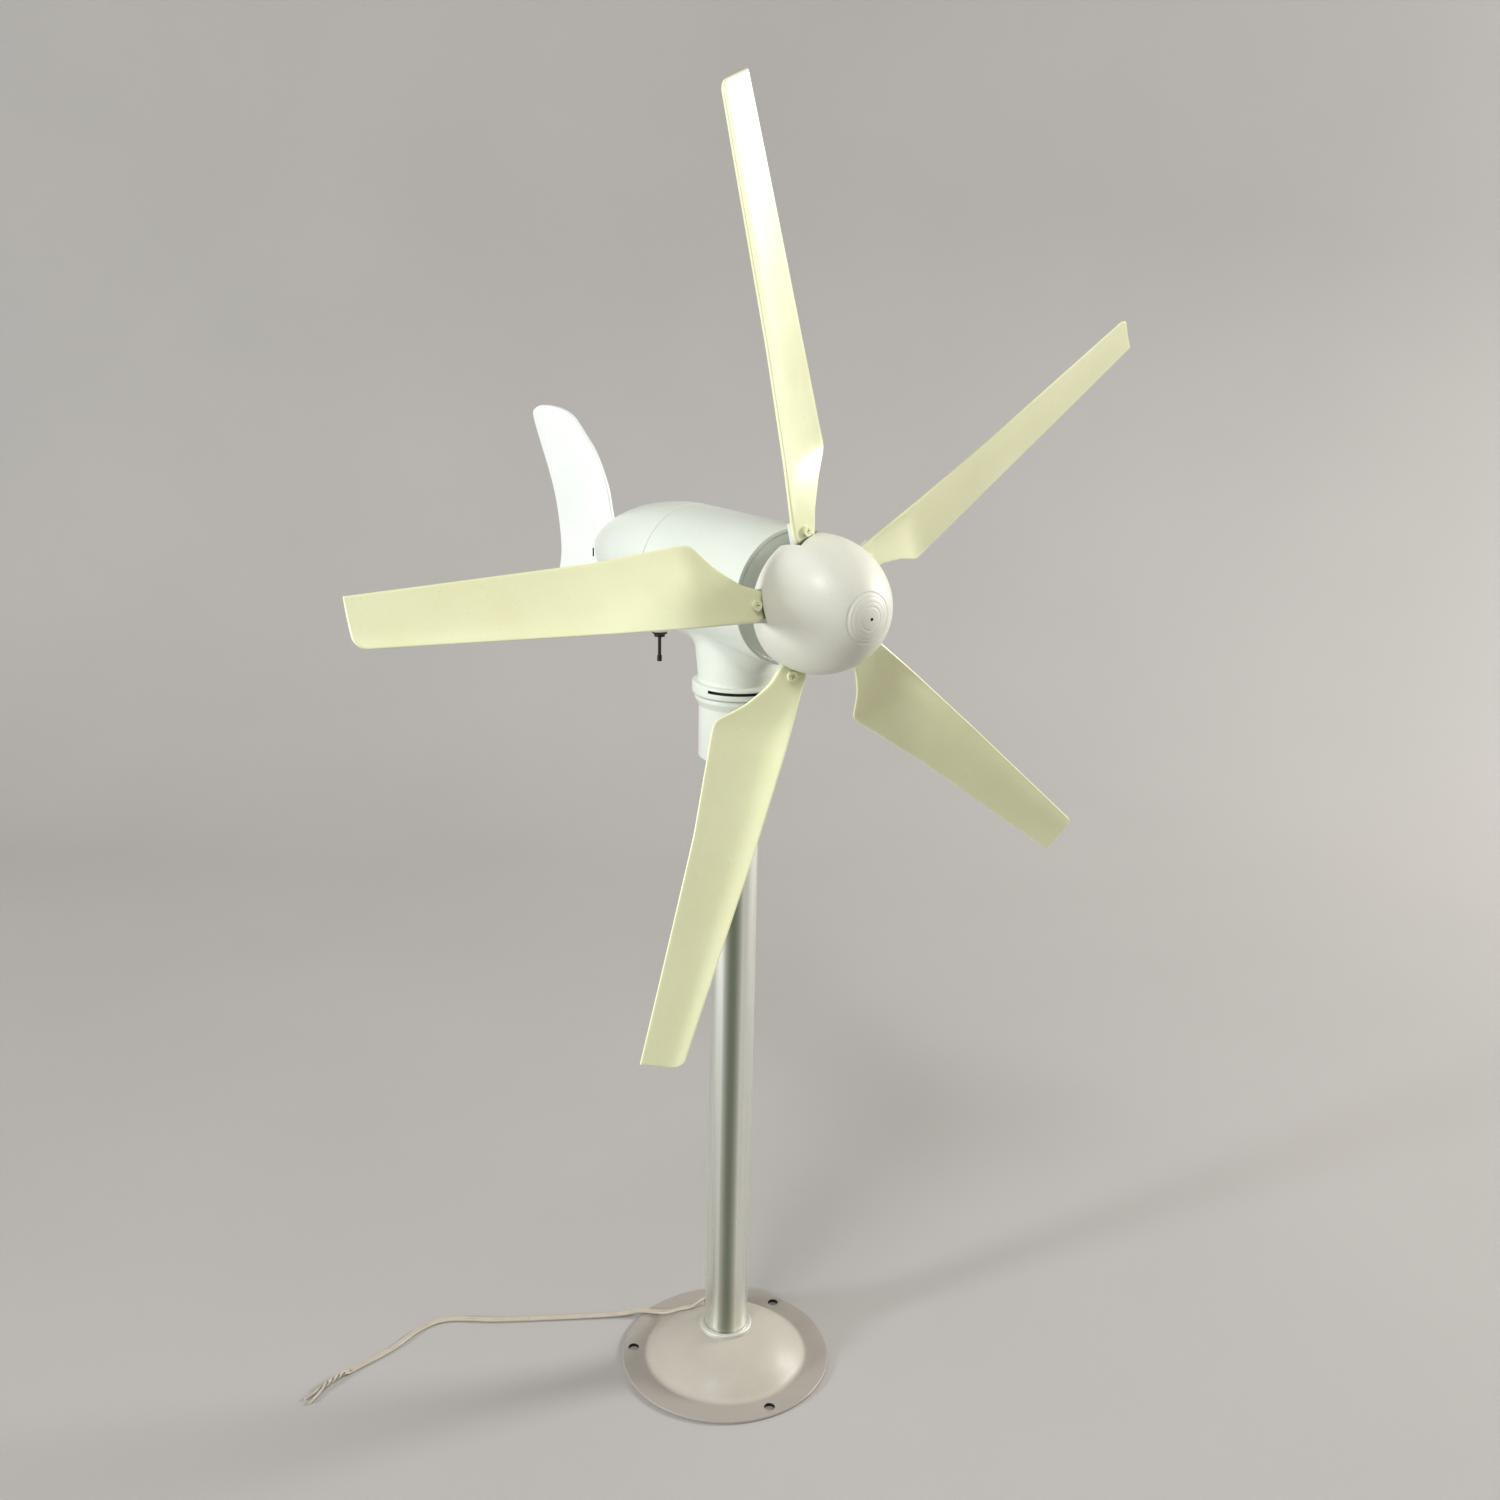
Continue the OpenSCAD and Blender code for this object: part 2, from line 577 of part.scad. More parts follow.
can_r = 24;
can_in = 22.5;
can_f0 = -22;
cap_f = 35.5;
motor_front = body_front - 3;
shaft_r = 3;
module motor_can() { color(alloy) on_axis() tube(can_r, can_in, can_f0, cap_f, fine); }
module motor_front_cap() {
    color(alloy) on_axis() difference() {
        union() {
            translate([0, 0, cap_f]) cylinder(r = can_r, h = motor_front - cap_f, $fn = fine);
            translate([0, 0, cap_f - 2]) cylinder(r = can_in, h = 3, $fn = fine);
            translate([0, 0, motor_front - 1]) cylinder(r = 8.8, h = 2.4, $fn = mid);
        }
        translate([0, 0, cap_f - 3]) cylinder(r = 4.5, h = 14, $fn = 32);
        translate([0, 0, cap_f - 3]) cylinder(r = 6.5, h = 8, $fn = mid);
        ring_of(4, 16, 45) translate([0, 0, cap_f - 3]) cylinder(r = 1.5, h = 12, $fn = 24);
    }
}
module motor_rear_cap() {
    color(black_rubber) on_axis() difference() {
        union() {
            translate([0, 0, can_f0 - 4]) cylinder(r = can_r, h = 4, $fn = fine);
            translate([0, 0, can_f0 - 9]) cylinder(r = 9, h = 6, $fn = mid);
            for (a = [0, 180]) rotate([0, 0, a]) translate([7.6, -3.5, can_f0 - 1]) cube([12, 7, 9]);
        }
        translate([0, 0, can_f0 - 8]) cylinder(r = 6.5, h = 5, $fn = mid);
        translate([0, 0, can_f0 - 7]) cylinder(r = 4.5, h = 12, $fn = mid);
        brush_slots();
        for (a = [0, 180]) rotate([0, 0, a]) translate([13.2, -0.8, can_f0 - 6]) cube([3, 1.6, 7]);
    }
}
module brush_slots() {
    for (a = [0, 180]) rotate([0, 0, a]) translate([5, -2, can_f0 + 1.5]) cube([14.6, 4, 5]);
}
module motor_brushes() {
    color(dark_metal) on_axis() difference() {
        intersection() {
            brush_slots();
            translate([0, 0, can_f0]) cylinder(r = 13, h = 10, $fn = mid);
        }
        translate([0, 0, can_f0 - 1]) cylinder(r = 6 + gap, h = 12, $fn = mid);
    }
}
module brush_springs() {
    color(steel) on_axis() for (a = [0, 180]) rotate([0, 0, a]) translate([13.05, 0, can_f0 + 4])
        rotate([0, 90, 0]) coil(1.35, 0.3, 6.3, 4);
}
module coil(r, wire_r, len, turns) {
    n = 12 * turns;
    path = [for (i = [0:n]) [r * cos(30 * i), r * sin(30 * i), wire_r + (len - 2 * wire_r) * i / n]];
    sweep(circle_section(wire_r, 6), path, [for (i = [0:n]) [cos(30 * i), sin(30 * i), 0]]);
}
module motor_magnets() {
    color([0.32, 0.32, 0.34]) on_axis() difference() {
        tube(can_in, 20, -10, 30, fine);
        for (a = [90, 270]) rotate([0, 0, a]) translate([0, -8, -12]) cube([30, 16, 50]);
    }
}
module motor_bearings() {
    color(steel) on_axis() {
        tube(6.5, shaft_r + gap, cap_f - 1, cap_f + 4);
        tube(6.5, shaft_r + gap, can_f0 - 8, can_f0 - 4);
    }
}
module motor_mount_screws() {
    color(dark_metal) on_axis() ring_of(4, 16, 45) {
        translate([0, 0, motor_front - 5]) cylinder(r = 1.5, h = 7.6, $fn = 24);
        pan_head(motor_front + 2.6);
    }
}
module motor_terminals() {
    color(brass_tone) on_axis() for (a = [0, 180]) rotate([0, 0, a])
        translate([13.2, -0.8, can_f0 - 8]) cube([3, 1.6, 8]);
}
term_y = 8 - can_f0;
term_x = 14.7;
tag_z = seat_z + 13;
module motor_to_switch_wire() {
    color([0.7, 0.12, 0.1]) wire([[-term_x, term_y + 0.1, axis_h], [-term_x, term_y + 3, axis_h],
        [-13, term_y + 10, axis_h - 2], [-9, term_y + 20, axis_h - 8], [-5, switch_y - 8, tag_z + 6],
        [-3.8, switch_y, tag_z + 4], [-3.8, switch_y, tag_z + 0.1]], 0.7);
}
// One wire from the switch and one from the motor drop through the hollow yaw shaft.
module nacelle_drop_wires() {
    color([0.7, 0.12, 0.1]) wire([[3.8, switch_y, tag_z + 0.1], [3.8, switch_y - 1, tag_z + 4],
        [5, switch_y - 10, tag_z + 3], [6, 46, 444], [4, 27, 440.6], [3, 14, 436.5], [1.6, 6, 430],
        [1.2, 1, 424], [1.1, 0, 416], [1.1, 0, 400], [1.1, 0, 331]], 0.7);
    color([0.12, 0.12, 0.13]) wire([[term_x, term_y + 0.1, axis_h], [term_x, term_y + 3, axis_h],
        [15.5, term_y + 7, axis_h - 6], [15, term_y + 5, axis_h - 22], [8, 25, 441], [0.5, 11, 436.5],
        [-1.2, 2, 427], [-1.1, 0, 418], [-1.1, 0, 400], [-1.1, 0, 331]], 0.7);
}

// ---- rotor ----

shaft_front = 68;
module rotor_shaft() {
    color(steel) on_axis() translate([0, 0, can_f0 - 7.5])
        cylinder(r = shaft_r, h = shaft_front - can_f0 + 7.5, $fn = 32);
}
module armature_core() {
    color(steel) on_rotor() difference() {
        tube(19.5, shaft_r, -6, 26, fine);
        ring_of(5, 15.5) translate([0, 0, -7]) cylinder(r = 3.6, h = 34, $fn = 32);
        ring_of(5, 18) translate([0, -1, -7]) cube([5, 2, 34]);
    }
}
module armature_windings() {
    color(copper) on_rotor() {
        ring_of(5, 15.5) translate([0, 0, -8]) cylinder(r = 3.6, h = 36, $fn = 32);
        for (f = [-9.5, 27]) tube(18.4, 8, f, f + 2.5);
    }
}
module commutator() {
    color(copper) on_rotor() difference() {
        tube(6, shaft_r, can_f0 + 1, can_f0 + 11);
        ring_of(5, 6.2, 36) translate([-1.4, -0.2, can_f0]) cube([2, 0.4, 9]);
    }
}

root_pitch = 13;
tang_f = rotor_f - 4.2;                    // the mid-plane of the blade roots on the hub
pad_t = 3.4;
inner_bolt_r = 21;
outer_bolt_r = 37;
// Local x is tangential, y radial and z forward, tilted with the blade root
module at_blade(i) {
    on_axis() rotate([0, 0, -blade_phase - 360 * i / blade_n])
        translate([0, 0, tang_f]) rotate([0, root_pitch, 0]) children();
}
module at_bolts(i) {
    at_blade(i) for (r = [inner_bolt_r, outer_bolt_r]) translate([0, r, 0]) children();
}
back_face = -blade_t / 2;                  // the blade root rests on its pad here
module blade_hub() {
    color(body_white) difference() {
        union() {
            on_axis() translate([0, 0, body_front + 3]) cylinder(r = 11, h = 19.5, $fn = mid);
            on_axis() translate([0, 0, body_front + 20]) cylinder(r = 8.5, h = 5, $fn = mid);
            for (i = [0:blade_n - 1]) at_blade(i)
                translate([-6, 8, back_face - pad_t]) cube([12, 34, pad_t]);
        }
        on_axis() translate([0, 0, body_front]) cylinder(r = shaft_r, h = 40, $fn = 32);
        for (i = [0:blade_n - 1]) at_bolts(i) translate([0, 0, -10]) cylinder(r = 1.5, h = 20, $fn = 24);
        rotor_grub_at() translate([0, 0, -1]) cylinder(r = 1.5, h = 12, $fn = 24);
    }
}
module rotor_grub_at() {
    on_rotor() rotate([0, 0, 54]) translate([shaft_r, 0, body_front + 6.5]) rotate([0, 90, 0]) children();
}
module rotor_grub_screw() { color(dark_metal) rotor_grub_at() grub(1.5, 5, 1.5); }
module blade_screws() {
    color(steel) for (i = [0:blade_n - 1]) at_bolts(i) {
        translate([0, 0, back_face - pad_t - 3]) cylinder(r = 1.5, h = pad_t + blade_t + 3.5, $fn = 24);
        pan_head(blade_t / 2);
    }
}
module blade_nuts() {
    color(steel) for (i = [0:blade_n - 1]) at_bolts(i) difference() {
        translate([0, 0, back_face - pad_t - 2.4]) cylinder(d = 6.2, h = 2.4, $fn = 6);
        translate([0, 0, back_face - pad_t - 3]) cylinder(r = 1.5, h = 4, $fn = 24);
    }
}

// Blade shape in rotor coordinates: R is the radius, t is clockwise and a is forward of the tip plane.
kink_r = 70;
lead_t = [[14, -5.5], [30, -5.5], [36, -8], [tip_r, -10]];
trail_t = [[14, 5.5], [30, 5.5], [36, 7.4], [44, 9.4], [50, 12.6], [57, 16.8], [63, 21.6],
    [67.5, 25.8], [kink_r, 27], [74, 26.8], [125, 20.4], [tip_r, 10.2]];
pitch_at = [[42, root_pitch], [56, 19], [kink_r, 24.7], [125, 23.7], [tip_r, 20.7]];
mid_a = [[42, tang_f - rotor_f], [kink_r, -2.8], [125, -0.7], [tip_r, 0]];
camber_at = [[42, 0], [56, 0.05], [kink_r, 0.08], [tip_r, 0.06]];
tip_round = 5.5;
tip_rake = 2.6;
stations = [14, 22, 30, 33, 36, 42, 46, 50, 57, 63, 67.5, 70, 74, 86, 104, 125, 150, 178, 205, 226, tip_r];
chord_n = 12;
function thick_at(R, u) = let (e = min(1, 12 * u, 12 * (1 - u)))
    mix(blade_t, 1.9, min(1, max(0, (R - 42) / 60))) * (R > 41 ? 0.62 + 0.38 * e : 1);
function camber(u) = u < 0.3 ? 1 - pow((0.3 - u) / 0.3, 2) : 1 - pow((u - 0.3) / 0.7, 2);
function tip_at(u, chord) = let (s = min(tip_round, u * chord))
    tip_r - tip_rake * (1 - u) - tip_round + sqrt(pow(tip_round, 2) - pow(tip_round - s, 2));
// A point on the blade; side is 1 on the front face and -1 on the back
function blade_point(R, u, side) = let (
    t0 = lookup(R, lead_t), t1 = lookup(R, trail_t), p = lookup(R, pitch_at),
    t = mix(t0, t1, u), chord = (t1 - t0) / cos(p),
    off = side * thick_at(R, u) / 2 - camber(u) * lookup(R, camber_at) * chord,
    span = max(0, (R - 100) / (tip_r - 100)),
    r = R - span * (tip_r - tip_at(u, chord)))
    [t + off * sin(p), r, rotor_f + lookup(R, mid_a) - t * tan(p) + off * cos(p)];
module blade(i) {
    us = [for (k = [0:chord_n]) pow(k / chord_n, 1.25)];
    rows = [for (R = stations) concat([for (u = us) blade_point(R, u, 1)],
        [for (k = [chord_n:-1:0]) blade_point(R, us[k], -1)])];
    m = len(rows[0]);
    n = len(rows);
    faces = [for (j = [0:n - 2]) for (k = [0:m - 1]) let (k2 = (k + 1) % m)
        for (f = [[j * m + k, j * m + k2, (j + 1) * m + k],
            [j * m + k2, (j + 1) * m + k2, (j + 1) * m + k]]) f];
    ends = [for (k = [0:chord_n - 1]) for (j = [0, n - 1]) let (
        q = [j * m + k, j * m + k + 1, j * m + m - 2 - k, j * m + m - 1 - k])
        for (f = j == 0 ? [[q[0], q[3], q[1]], [q[1], q[3], q[2]]]
            : [[q[0], q[1], q[3]], [q[1], q[2], q[3]]]) f];
    color(blade_cream) difference() {
        on_axis() rotate([0, 0, -blade_phase - 360 * i / blade_n])
            polyhedron([for (r = rows) for (p = r) p], concat(faces, ends), convexity = 6);
        at_bolts(i) translate([0, 0, -5]) cylinder(r = 1.5, h = 10, $fn = 24);
    }
}

// Spinner outline: a side arc and a nose arc that meet smoothly
spin_f = 64;
spin_len = 40.5;
nose_r = 27;
nose_c = spin_len - nose_r;
side_c = (pow(nose_c, 2) - pow(spinner_r - nose_r, 2)) / (2 * (spinner_r - nose_r));
rim_f = 56;
module spinner_solid(thin) {
    side_r = spinner_r + side_c;
    meet = nose_c + nose_r * nose_c / norm([side_c, nose_c]);
    on_axis() translate([0, 0, spin_f]) {
        rotate_extrude($fn = fine) intersection() {
            translate([-side_c, 0]) circle(r = side_r - thin, $fn = 200);
            translate([0, rim_f - spin_f - (thin > 0 ? 1 : 0)])
                square([spinner_r + 1, meet - rim_f + spin_f + (thin > 0 ? 1 : 0)]);
        }
        intersection() {
            translate([0, 0, nose_c]) sphere(r = nose_r - thin, $fn = fine);
            translate([0, 0, meet - 0.6]) cylinder(r = 40, h = 40);
        }
    }
}
module spinner() {
    color(body_white) difference() {
        union() {
            difference() {
                spinner_solid(0);
                spinner_solid(2);
            }
            // A socket inside the nose that pushes onto the end of the hub
            on_axis() tube(11, 8.5, rotor_f, spin_f + spin_len - 3.2);
        }
        // A notch for each blade root, wider at its leading edge
        for (i = [0:blade_n - 1]) at_blade(i)
            translate([0, 44, 0]) rotate([90, 0, 0]) linear_extrude(20)
                polygon([[-8.3, -20], [7.8, -20], [7.8, blade_t / 2 + 0.3], [-8.3, blade_t / 2 + 3]]);
        on_axis() translate([0, 0, spin_f + spin_len - 0.6]) cylinder(r = 0.9, h = 2, $fn = 24);
    }
}

module blade_1() { blade(0); }
module blade_2() { blade(1); }
module blade_3() { blade(2); }
module blade_4() { blade(3); }
module blade_5() { blade(4); }

base_flange();
base_hub();
hub_grub_screw();
pole_tube();
cable_grommet();
power_cable();
cable_wire_ends();
tower_sleeve();
sleeve_grub_screws();
yaw_bearing_outer_races();
yaw_bearing_balls();
bearing_spacer();
slip_ring_housing();
slip_ring_brushes();
nacelle_body();
front_cover();
tail_cone();
tail_cone_screws();
tail_fin();
fin_screw();
fin_nut();
yaw_shaft();
yaw_flange_screws();
yaw_spacer();
yaw_bearing_inner_races();
yaw_shaft_nut();
slip_ring_drum();
slip_ring_bands();
motor_can();
motor_front_cap();
motor_rear_cap();
motor_magnets();
motor_brushes();
brush_springs();
motor_bearings();
motor_mount_screws();
motor_terminals();
motor_to_switch_wire();
nacelle_drop_wires();
switch_body();
switch_terminals();
switch_bushing();
switch_washer();
switch_nut();
toggle_lever();
rotor_shaft();
armature_core();
armature_windings();
commutator();
blade_hub();
rotor_grub_screw();
blade_1();
blade_2();
blade_3();
blade_4();
blade_5();
blade_screws();
blade_nuts();
spinner();
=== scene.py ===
"""Looks of a small five-bladed wind turbine on a pole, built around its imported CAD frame.

Lengths in this script are millimetres until mesh() turns them into metres.
Rotor frame: x to the right of the turbine seen from behind, y up, f forward along the rotor axis (world -Y).
"""
import json
import math

import bmesh
import bpy
from mathutils import Matrix, Vector
from mathutils.geometry import tessellate_polygon


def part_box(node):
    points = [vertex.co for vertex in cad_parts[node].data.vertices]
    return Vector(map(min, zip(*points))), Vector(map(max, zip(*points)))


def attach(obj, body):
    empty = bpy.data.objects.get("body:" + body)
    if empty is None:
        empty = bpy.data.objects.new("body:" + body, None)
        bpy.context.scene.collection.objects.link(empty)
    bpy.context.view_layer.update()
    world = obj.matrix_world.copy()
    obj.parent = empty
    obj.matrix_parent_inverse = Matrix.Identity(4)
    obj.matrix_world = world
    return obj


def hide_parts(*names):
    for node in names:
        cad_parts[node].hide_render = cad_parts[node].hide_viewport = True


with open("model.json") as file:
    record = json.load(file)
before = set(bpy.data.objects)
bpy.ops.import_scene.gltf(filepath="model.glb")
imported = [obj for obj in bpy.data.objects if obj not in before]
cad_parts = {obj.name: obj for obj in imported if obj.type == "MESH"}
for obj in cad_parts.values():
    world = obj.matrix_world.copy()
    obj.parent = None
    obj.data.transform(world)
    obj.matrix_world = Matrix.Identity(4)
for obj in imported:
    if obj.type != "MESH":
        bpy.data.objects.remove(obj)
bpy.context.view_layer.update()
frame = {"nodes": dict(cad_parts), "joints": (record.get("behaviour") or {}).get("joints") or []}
NODES = frame["nodes"]
JOINTS = {joint["name"]: joint for joint in frame["joints"]}
MM = 0.001


def box(node):
    """Lowest and highest corner of a CAD node in millimetres."""
    low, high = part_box(node)
    return low / MM, high / MM


AXIS_Z = JOINTS["rotor_spin"]["pos_m"][2] / MM


# ---------------------------------------------------------------- materials

class Shader:
    """Builds one node-based material around a Principled BSDF."""

    def __init__(self, name):
        self.material = bpy.data.materials.new(name)
        self.material.use_nodes = True
        self.tree = self.material.node_tree
        self.bsdf = self.tree.nodes["Principled BSDF"]
        self.coords = self.tree.nodes.new("ShaderNodeTexCoord").outputs["Object"]

    def node(self, kind, **inputs):
        made = self.tree.nodes.new(kind)
        for key, value in inputs.items():
            self.put(made.inputs[key.replace("_", " ")], value)
        return made

    def put(self, socket, value):
        if isinstance(value, bpy.types.NodeSocket):
            self.tree.links.new(value, socket)
        else:
            socket.default_value = value

    def set(self, **inputs):
        for key, value in inputs.items():
            self.put(self.bsdf.inputs[key.replace("_", " ")], value)
        return self

    def stretched(self, x, y, z):
        mapping = self.node("ShaderNodeMapping", Vector=self.coords)
        mapping.inputs["Scale"].default_value = (x, y, z)
        return mapping.outputs["Vector"]

    def noise(self, scale, detail=3.0, rough=0.5, vector=None, distortion=0.0):
        made = self.node("ShaderNodeTexNoise", Scale=scale, Detail=detail, Roughness=rough,
                         Vector=vector or self.coords)
        made.inputs["Distortion"].default_value = distortion
        return made.outputs["Fac"]

    def remap(self, value, low, high, to_low, to_high, smooth=False):
        made = self.node("ShaderNodeMapRange", Value=value)
        if smooth:
            made.interpolation_type = "SMOOTHSTEP"
        for key, number in (("From Min", low), ("From Max", high), ("To Min", to_low), ("To Max", to_high)):
            self.put(made.inputs[key], number)
        return made.outputs["Result"]

    def vector(self, operation, a, b=None):
        made = self.tree.nodes.new("ShaderNodeVectorMath")
        made.operation = operation
        self.put(made.inputs[0], a)
        if b is not None:
            self.put(made.inputs[1], b)
        return made.outputs["Value" if operation in ("DOT_PRODUCT", "LENGTH") else "Vector"]

    def mix(self, factor, a, b, mode="MIX"):
        made = self.tree.nodes.new("ShaderNodeMix")
        made.data_type = "RGBA"
        made.blend_type = mode
        self.put(made.inputs["Factor"], factor)
        for socket, value in ((made.inputs[6], a), (made.inputs[7], b)):
            self.put(socket, value if isinstance(value, bpy.types.NodeSocket) else (*value, 1.0))
        return made.outputs[2]

    def bump(self, height, distance, strength=1.0, normal=None):
        made = self.node("ShaderNodeBump", Height=height, Distance=distance, Strength=strength)
        if normal is not None:
            self.put(made.inputs["Normal"], normal)
        return made.outputs["Normal"]


def moulded(name, base, shade, roughness=0.32, texture=0.00004, subsurface=0.0, coat=0.15, tang_r=None):
    """Injection-moulded plastic: faint flow clouds, a fine skin and handling marks in the gloss."""
    s = Shader(name)
    clouds = s.remap(s.noise(22, 4, 0.6), 0.35, 0.7, 0.0, 1.0)
    color = s.mix(clouds, base, shade)
    dust = s.remap(s.noise(900, 2, 0.5), 0.66, 0.78, 0.0, 0.35)
    color = s.mix(dust, color, tuple(0.6 * c for c in shade))
    smears = s.remap(s.noise(60, 5, 0.7, s.stretched(1, 0.35, 1)), 0.3, 0.75,
                     roughness - 0.07, roughness + 0.12)
    skin = s.bump(s.noise(1500, 3), texture, 0.5)
    waves = s.bump(s.noise(28, 2), 0.0006, 0.25, skin)
    s.set(Base_Color=color, Roughness=smears, Normal=waves, Coat_Weight=coat, Coat_Roughness=0.12)
    if tang_r:
        # Painted shade where the root slides in under the spinner: its colour darkens inside the spinner's rim
        flat = s.vector("MULTIPLY", s.vector("ADD", s.coords, (0, 0, -AXIS_Z * MM)), (1, 0, 1))
        root_shade = s.remap(s.vector("LENGTH", flat), (tang_r - 1.6) * MM, tang_r * MM, 0.85, 0.0, True)
        color = s.mix(root_shade, color, tuple(0.16 * c for c in shade))
        s.set(Base_Color=color)
    if subsurface:
        s.set(Subsurface_Weight=subsurface, Subsurface_Scale=0.004)
        s.bsdf.inputs["Subsurface Radius"].default_value = (1.0, 0.8, 0.5)
    return s.material


# Distance from the pole's axis, in metres, over which the painted shade of the flat rim fades in
RIM_SHADE_STARTS_M = 0.0465
RIM_SHADE_FULL_M = 0.0485


def satin_paint(name, base, shade):
    """Powder-coated sheet steel: orange peel, faint sparkle, a few rubbed places and painted shade on the flat
    rim.
    """
    s = Shader(name)
    clouds = s.remap(s.noise(30, 4, 0.6), 0.3, 0.72, 0.0, 1.0)
    color = s.mix(clouds, base, shade)
    fleck = s.remap(s.noise(2600, 1), 0.62, 0.75, 0.0, 0.5)
    color = s.mix(fleck, color, tuple(min(1, 1.35 * c) for c in base))
    rough = s.remap(s.noise(70, 4, 0.65), 0.3, 0.7, 0.36, 0.52)
    peel = s.bump(s.noise(700, 2), 0.00005, 0.6)
    # Painted shade: the flat rim is coloured a little darker than the dome
    out = s.vector("LENGTH", s.vector("MULTIPLY", s.coords, (1, 1, 0)))
    rim_shade = s.mix(1.0, color, (0.76, 0.74, 0.77), "MULTIPLY")
    color = s.mix(s.remap(out, RIM_SHADE_STARTS_M, RIM_SHADE_FULL_M, 0.0, 1.0), color, rim_shade)
    s.set(Base_Color=color, Roughness=rough, Normal=peel)
    return s.material


def drawn_metal(name, base, shade, axis="z", roughness=0.3, lines=900.0, metallic=1.0, deep=None):
    """Metal drawn or brushed along one axis: long fine lines in tone, gloss and relief.
    deep is the tone seen square on, where polished metal mirrors the dark room behind the viewer."""
    s = Shader(name)
    along = 6.0
    scale = {"x": (along, lines, lines), "y": (lines, along, lines), "z": (lines, lines, along)}[axis]
    lines_fac = s.noise(1.0, 3, 0.6, s.stretched(*scale))
    broad = s.noise(1.0, 2, 0.5, s.stretched(*[v * 0.22 for v in scale]))
    color = s.mix(s.remap(broad, 0.3, 0.7, 0, 1), base, shade)
    color = s.mix(s.remap(lines_fac, 0.45, 0.75, 0, 0.5), color, tuple(min(1, 1.2 * c) for c in base))
    if deep:
        seen = s.tree.nodes.new("ShaderNodeNewGeometry").outputs
        level = s.vector("NORMALIZE", s.vector("MULTIPLY", seen["Incoming"], (1, 1, 0)))
        square = s.vector("DOT_PRODUCT", level, seen["Normal"])
        color = s.mix(s.remap(square, 0.998, 0.90, 0.0, 1.0), deep, color)
    rough = s.remap(lines_fac, 0.25, 0.75, roughness - 0.07, roughness + 0.12)
    s.set(Base_Color=color, Roughness=rough, Metallic=metallic, Normal=s.bump(lines_fac, 0.00003, 0.5))
    return s.material


def machined(name, base, roughness=0.28, stain=0.25, metallic=1.0):
    """Small turned or plated metal parts: fine tooling noise and slight tarnish."""
    s = Shader(name)
    tarnish = s.remap(s.noise(160, 4, 0.6), 0.35, 0.75, 0.0, stain)
    color = s.mix(tarnish, base, tuple(0.45 * c for c in base))
    rough = s.remap(s.noise(420, 4, 0.6), 0.3, 0.7, roughness - 0.06, roughness + 0.14)
    s.set(Base_Color=color, Roughness=rough, Metallic=metallic, Normal=s.bump(s.noise(2400, 2), 0.00002, 0.5))
    return s.material


def soft_sheath(name, base, shade, roughness=0.45):
    """Extruded cable sheath: soft gloss, small dirt and a faint grain."""
    s = Shader(name)
    color = s.mix(s.remap(s.noise(120, 4, 0.6), 0.35, 0.7, 0, 1), base, shade)
    grime = s.remap(s.noise(520, 3, 0.6), 0.6, 0.75, 0.0, 0.45)
    color = s.mix(grime, color, tuple(0.5 * c for c in shade))
    rough = s.remap(s.noise(300, 3), 0.3, 0.7, roughness - 0.1, roughness + 0.1)
    s.set(Base_Color=color, Roughness=rough, Normal=s.bump(s.noise(1800, 2), 0.00004, 0.6))
    return s.material


BODY = moulded("body_white", (0.69, 0.725, 0.66), (0.65, 0.69, 0.63), 0.36)
FIN = moulded("fin_white", (0.80, 0.82, 0.80), (0.76, 0.785, 0.76), 0.36)
SPINNER = moulded("spinner_white", (0.70, 0.70, 0.625), (0.66, 0.66, 0.58), 0.42, coat=0.05)
# tang_r paints shade on the blade roots inside the spinner's rim
BLADE = moulded("blade_ivory", (0.83, 0.85, 0.57), (0.79, 0.80, 0.51), 0.34, subsurface=0.15, coat=0.3,
                tang_r=34.4)
BASE = satin_paint("base_paint", (0.465, 0.43, 0.37), (0.415, 0.385, 0.33))
POLE = drawn_metal("pole_alloy", (0.93, 0.95, 0.88), (0.83, 0.86, 0.79), "z", 0.30, deep=(0.25, 0.29, 0.22))
STEEL = machined("turned_steel", (0.55, 0.55, 0.56))
HUB_GREY = machined("hub_zinc", (0.62, 0.60, 0.55), 0.46, metallic=0.35)
DARK = machined("dark_steel", (0.045, 0.04, 0.036), 0.38)
PLATED = machined("plated_steel", (0.66, 0.67, 0.69), 0.2, 0.15)
SLIT = machined("slit_shadow", (0.02, 0.02, 0.018), 0.9, metallic=0.0)
MOTOR = drawn_metal("motor_plate", (0.60, 0.61, 0.62), (0.50, 0.51, 0.52), "y", 0.3)
BRASS = machined("brass", (0.76, 0.56, 0.24), 0.25)
COPPER = machined("copper", (0.72, 0.34, 0.18), 0.3)
FERRITE = machined("ferrite", (0.06, 0.06, 0.065), 0.5, metallic=0.3)
BLACK = moulded("black_plastic", (0.028, 0.028, 0.03), (0.04, 0.04, 0.042), 0.42)
RUBBER = soft_sheath("black_rubber", (0.025, 0.025, 0.025), (0.04, 0.04, 0.04), 0.6)
SHEATH = soft_sheath("cable_sheath", (0.50, 0.45, 0.37), (0.44, 0.39, 0.31))
RED = soft_sheath("red_wire", (0.42, 0.03, 0.02), (0.36, 0.03, 0.02))
SWITCH = moulded("switch_blue", (0.02, 0.07, 0.22), (0.03, 0.09, 0.26), 0.4)

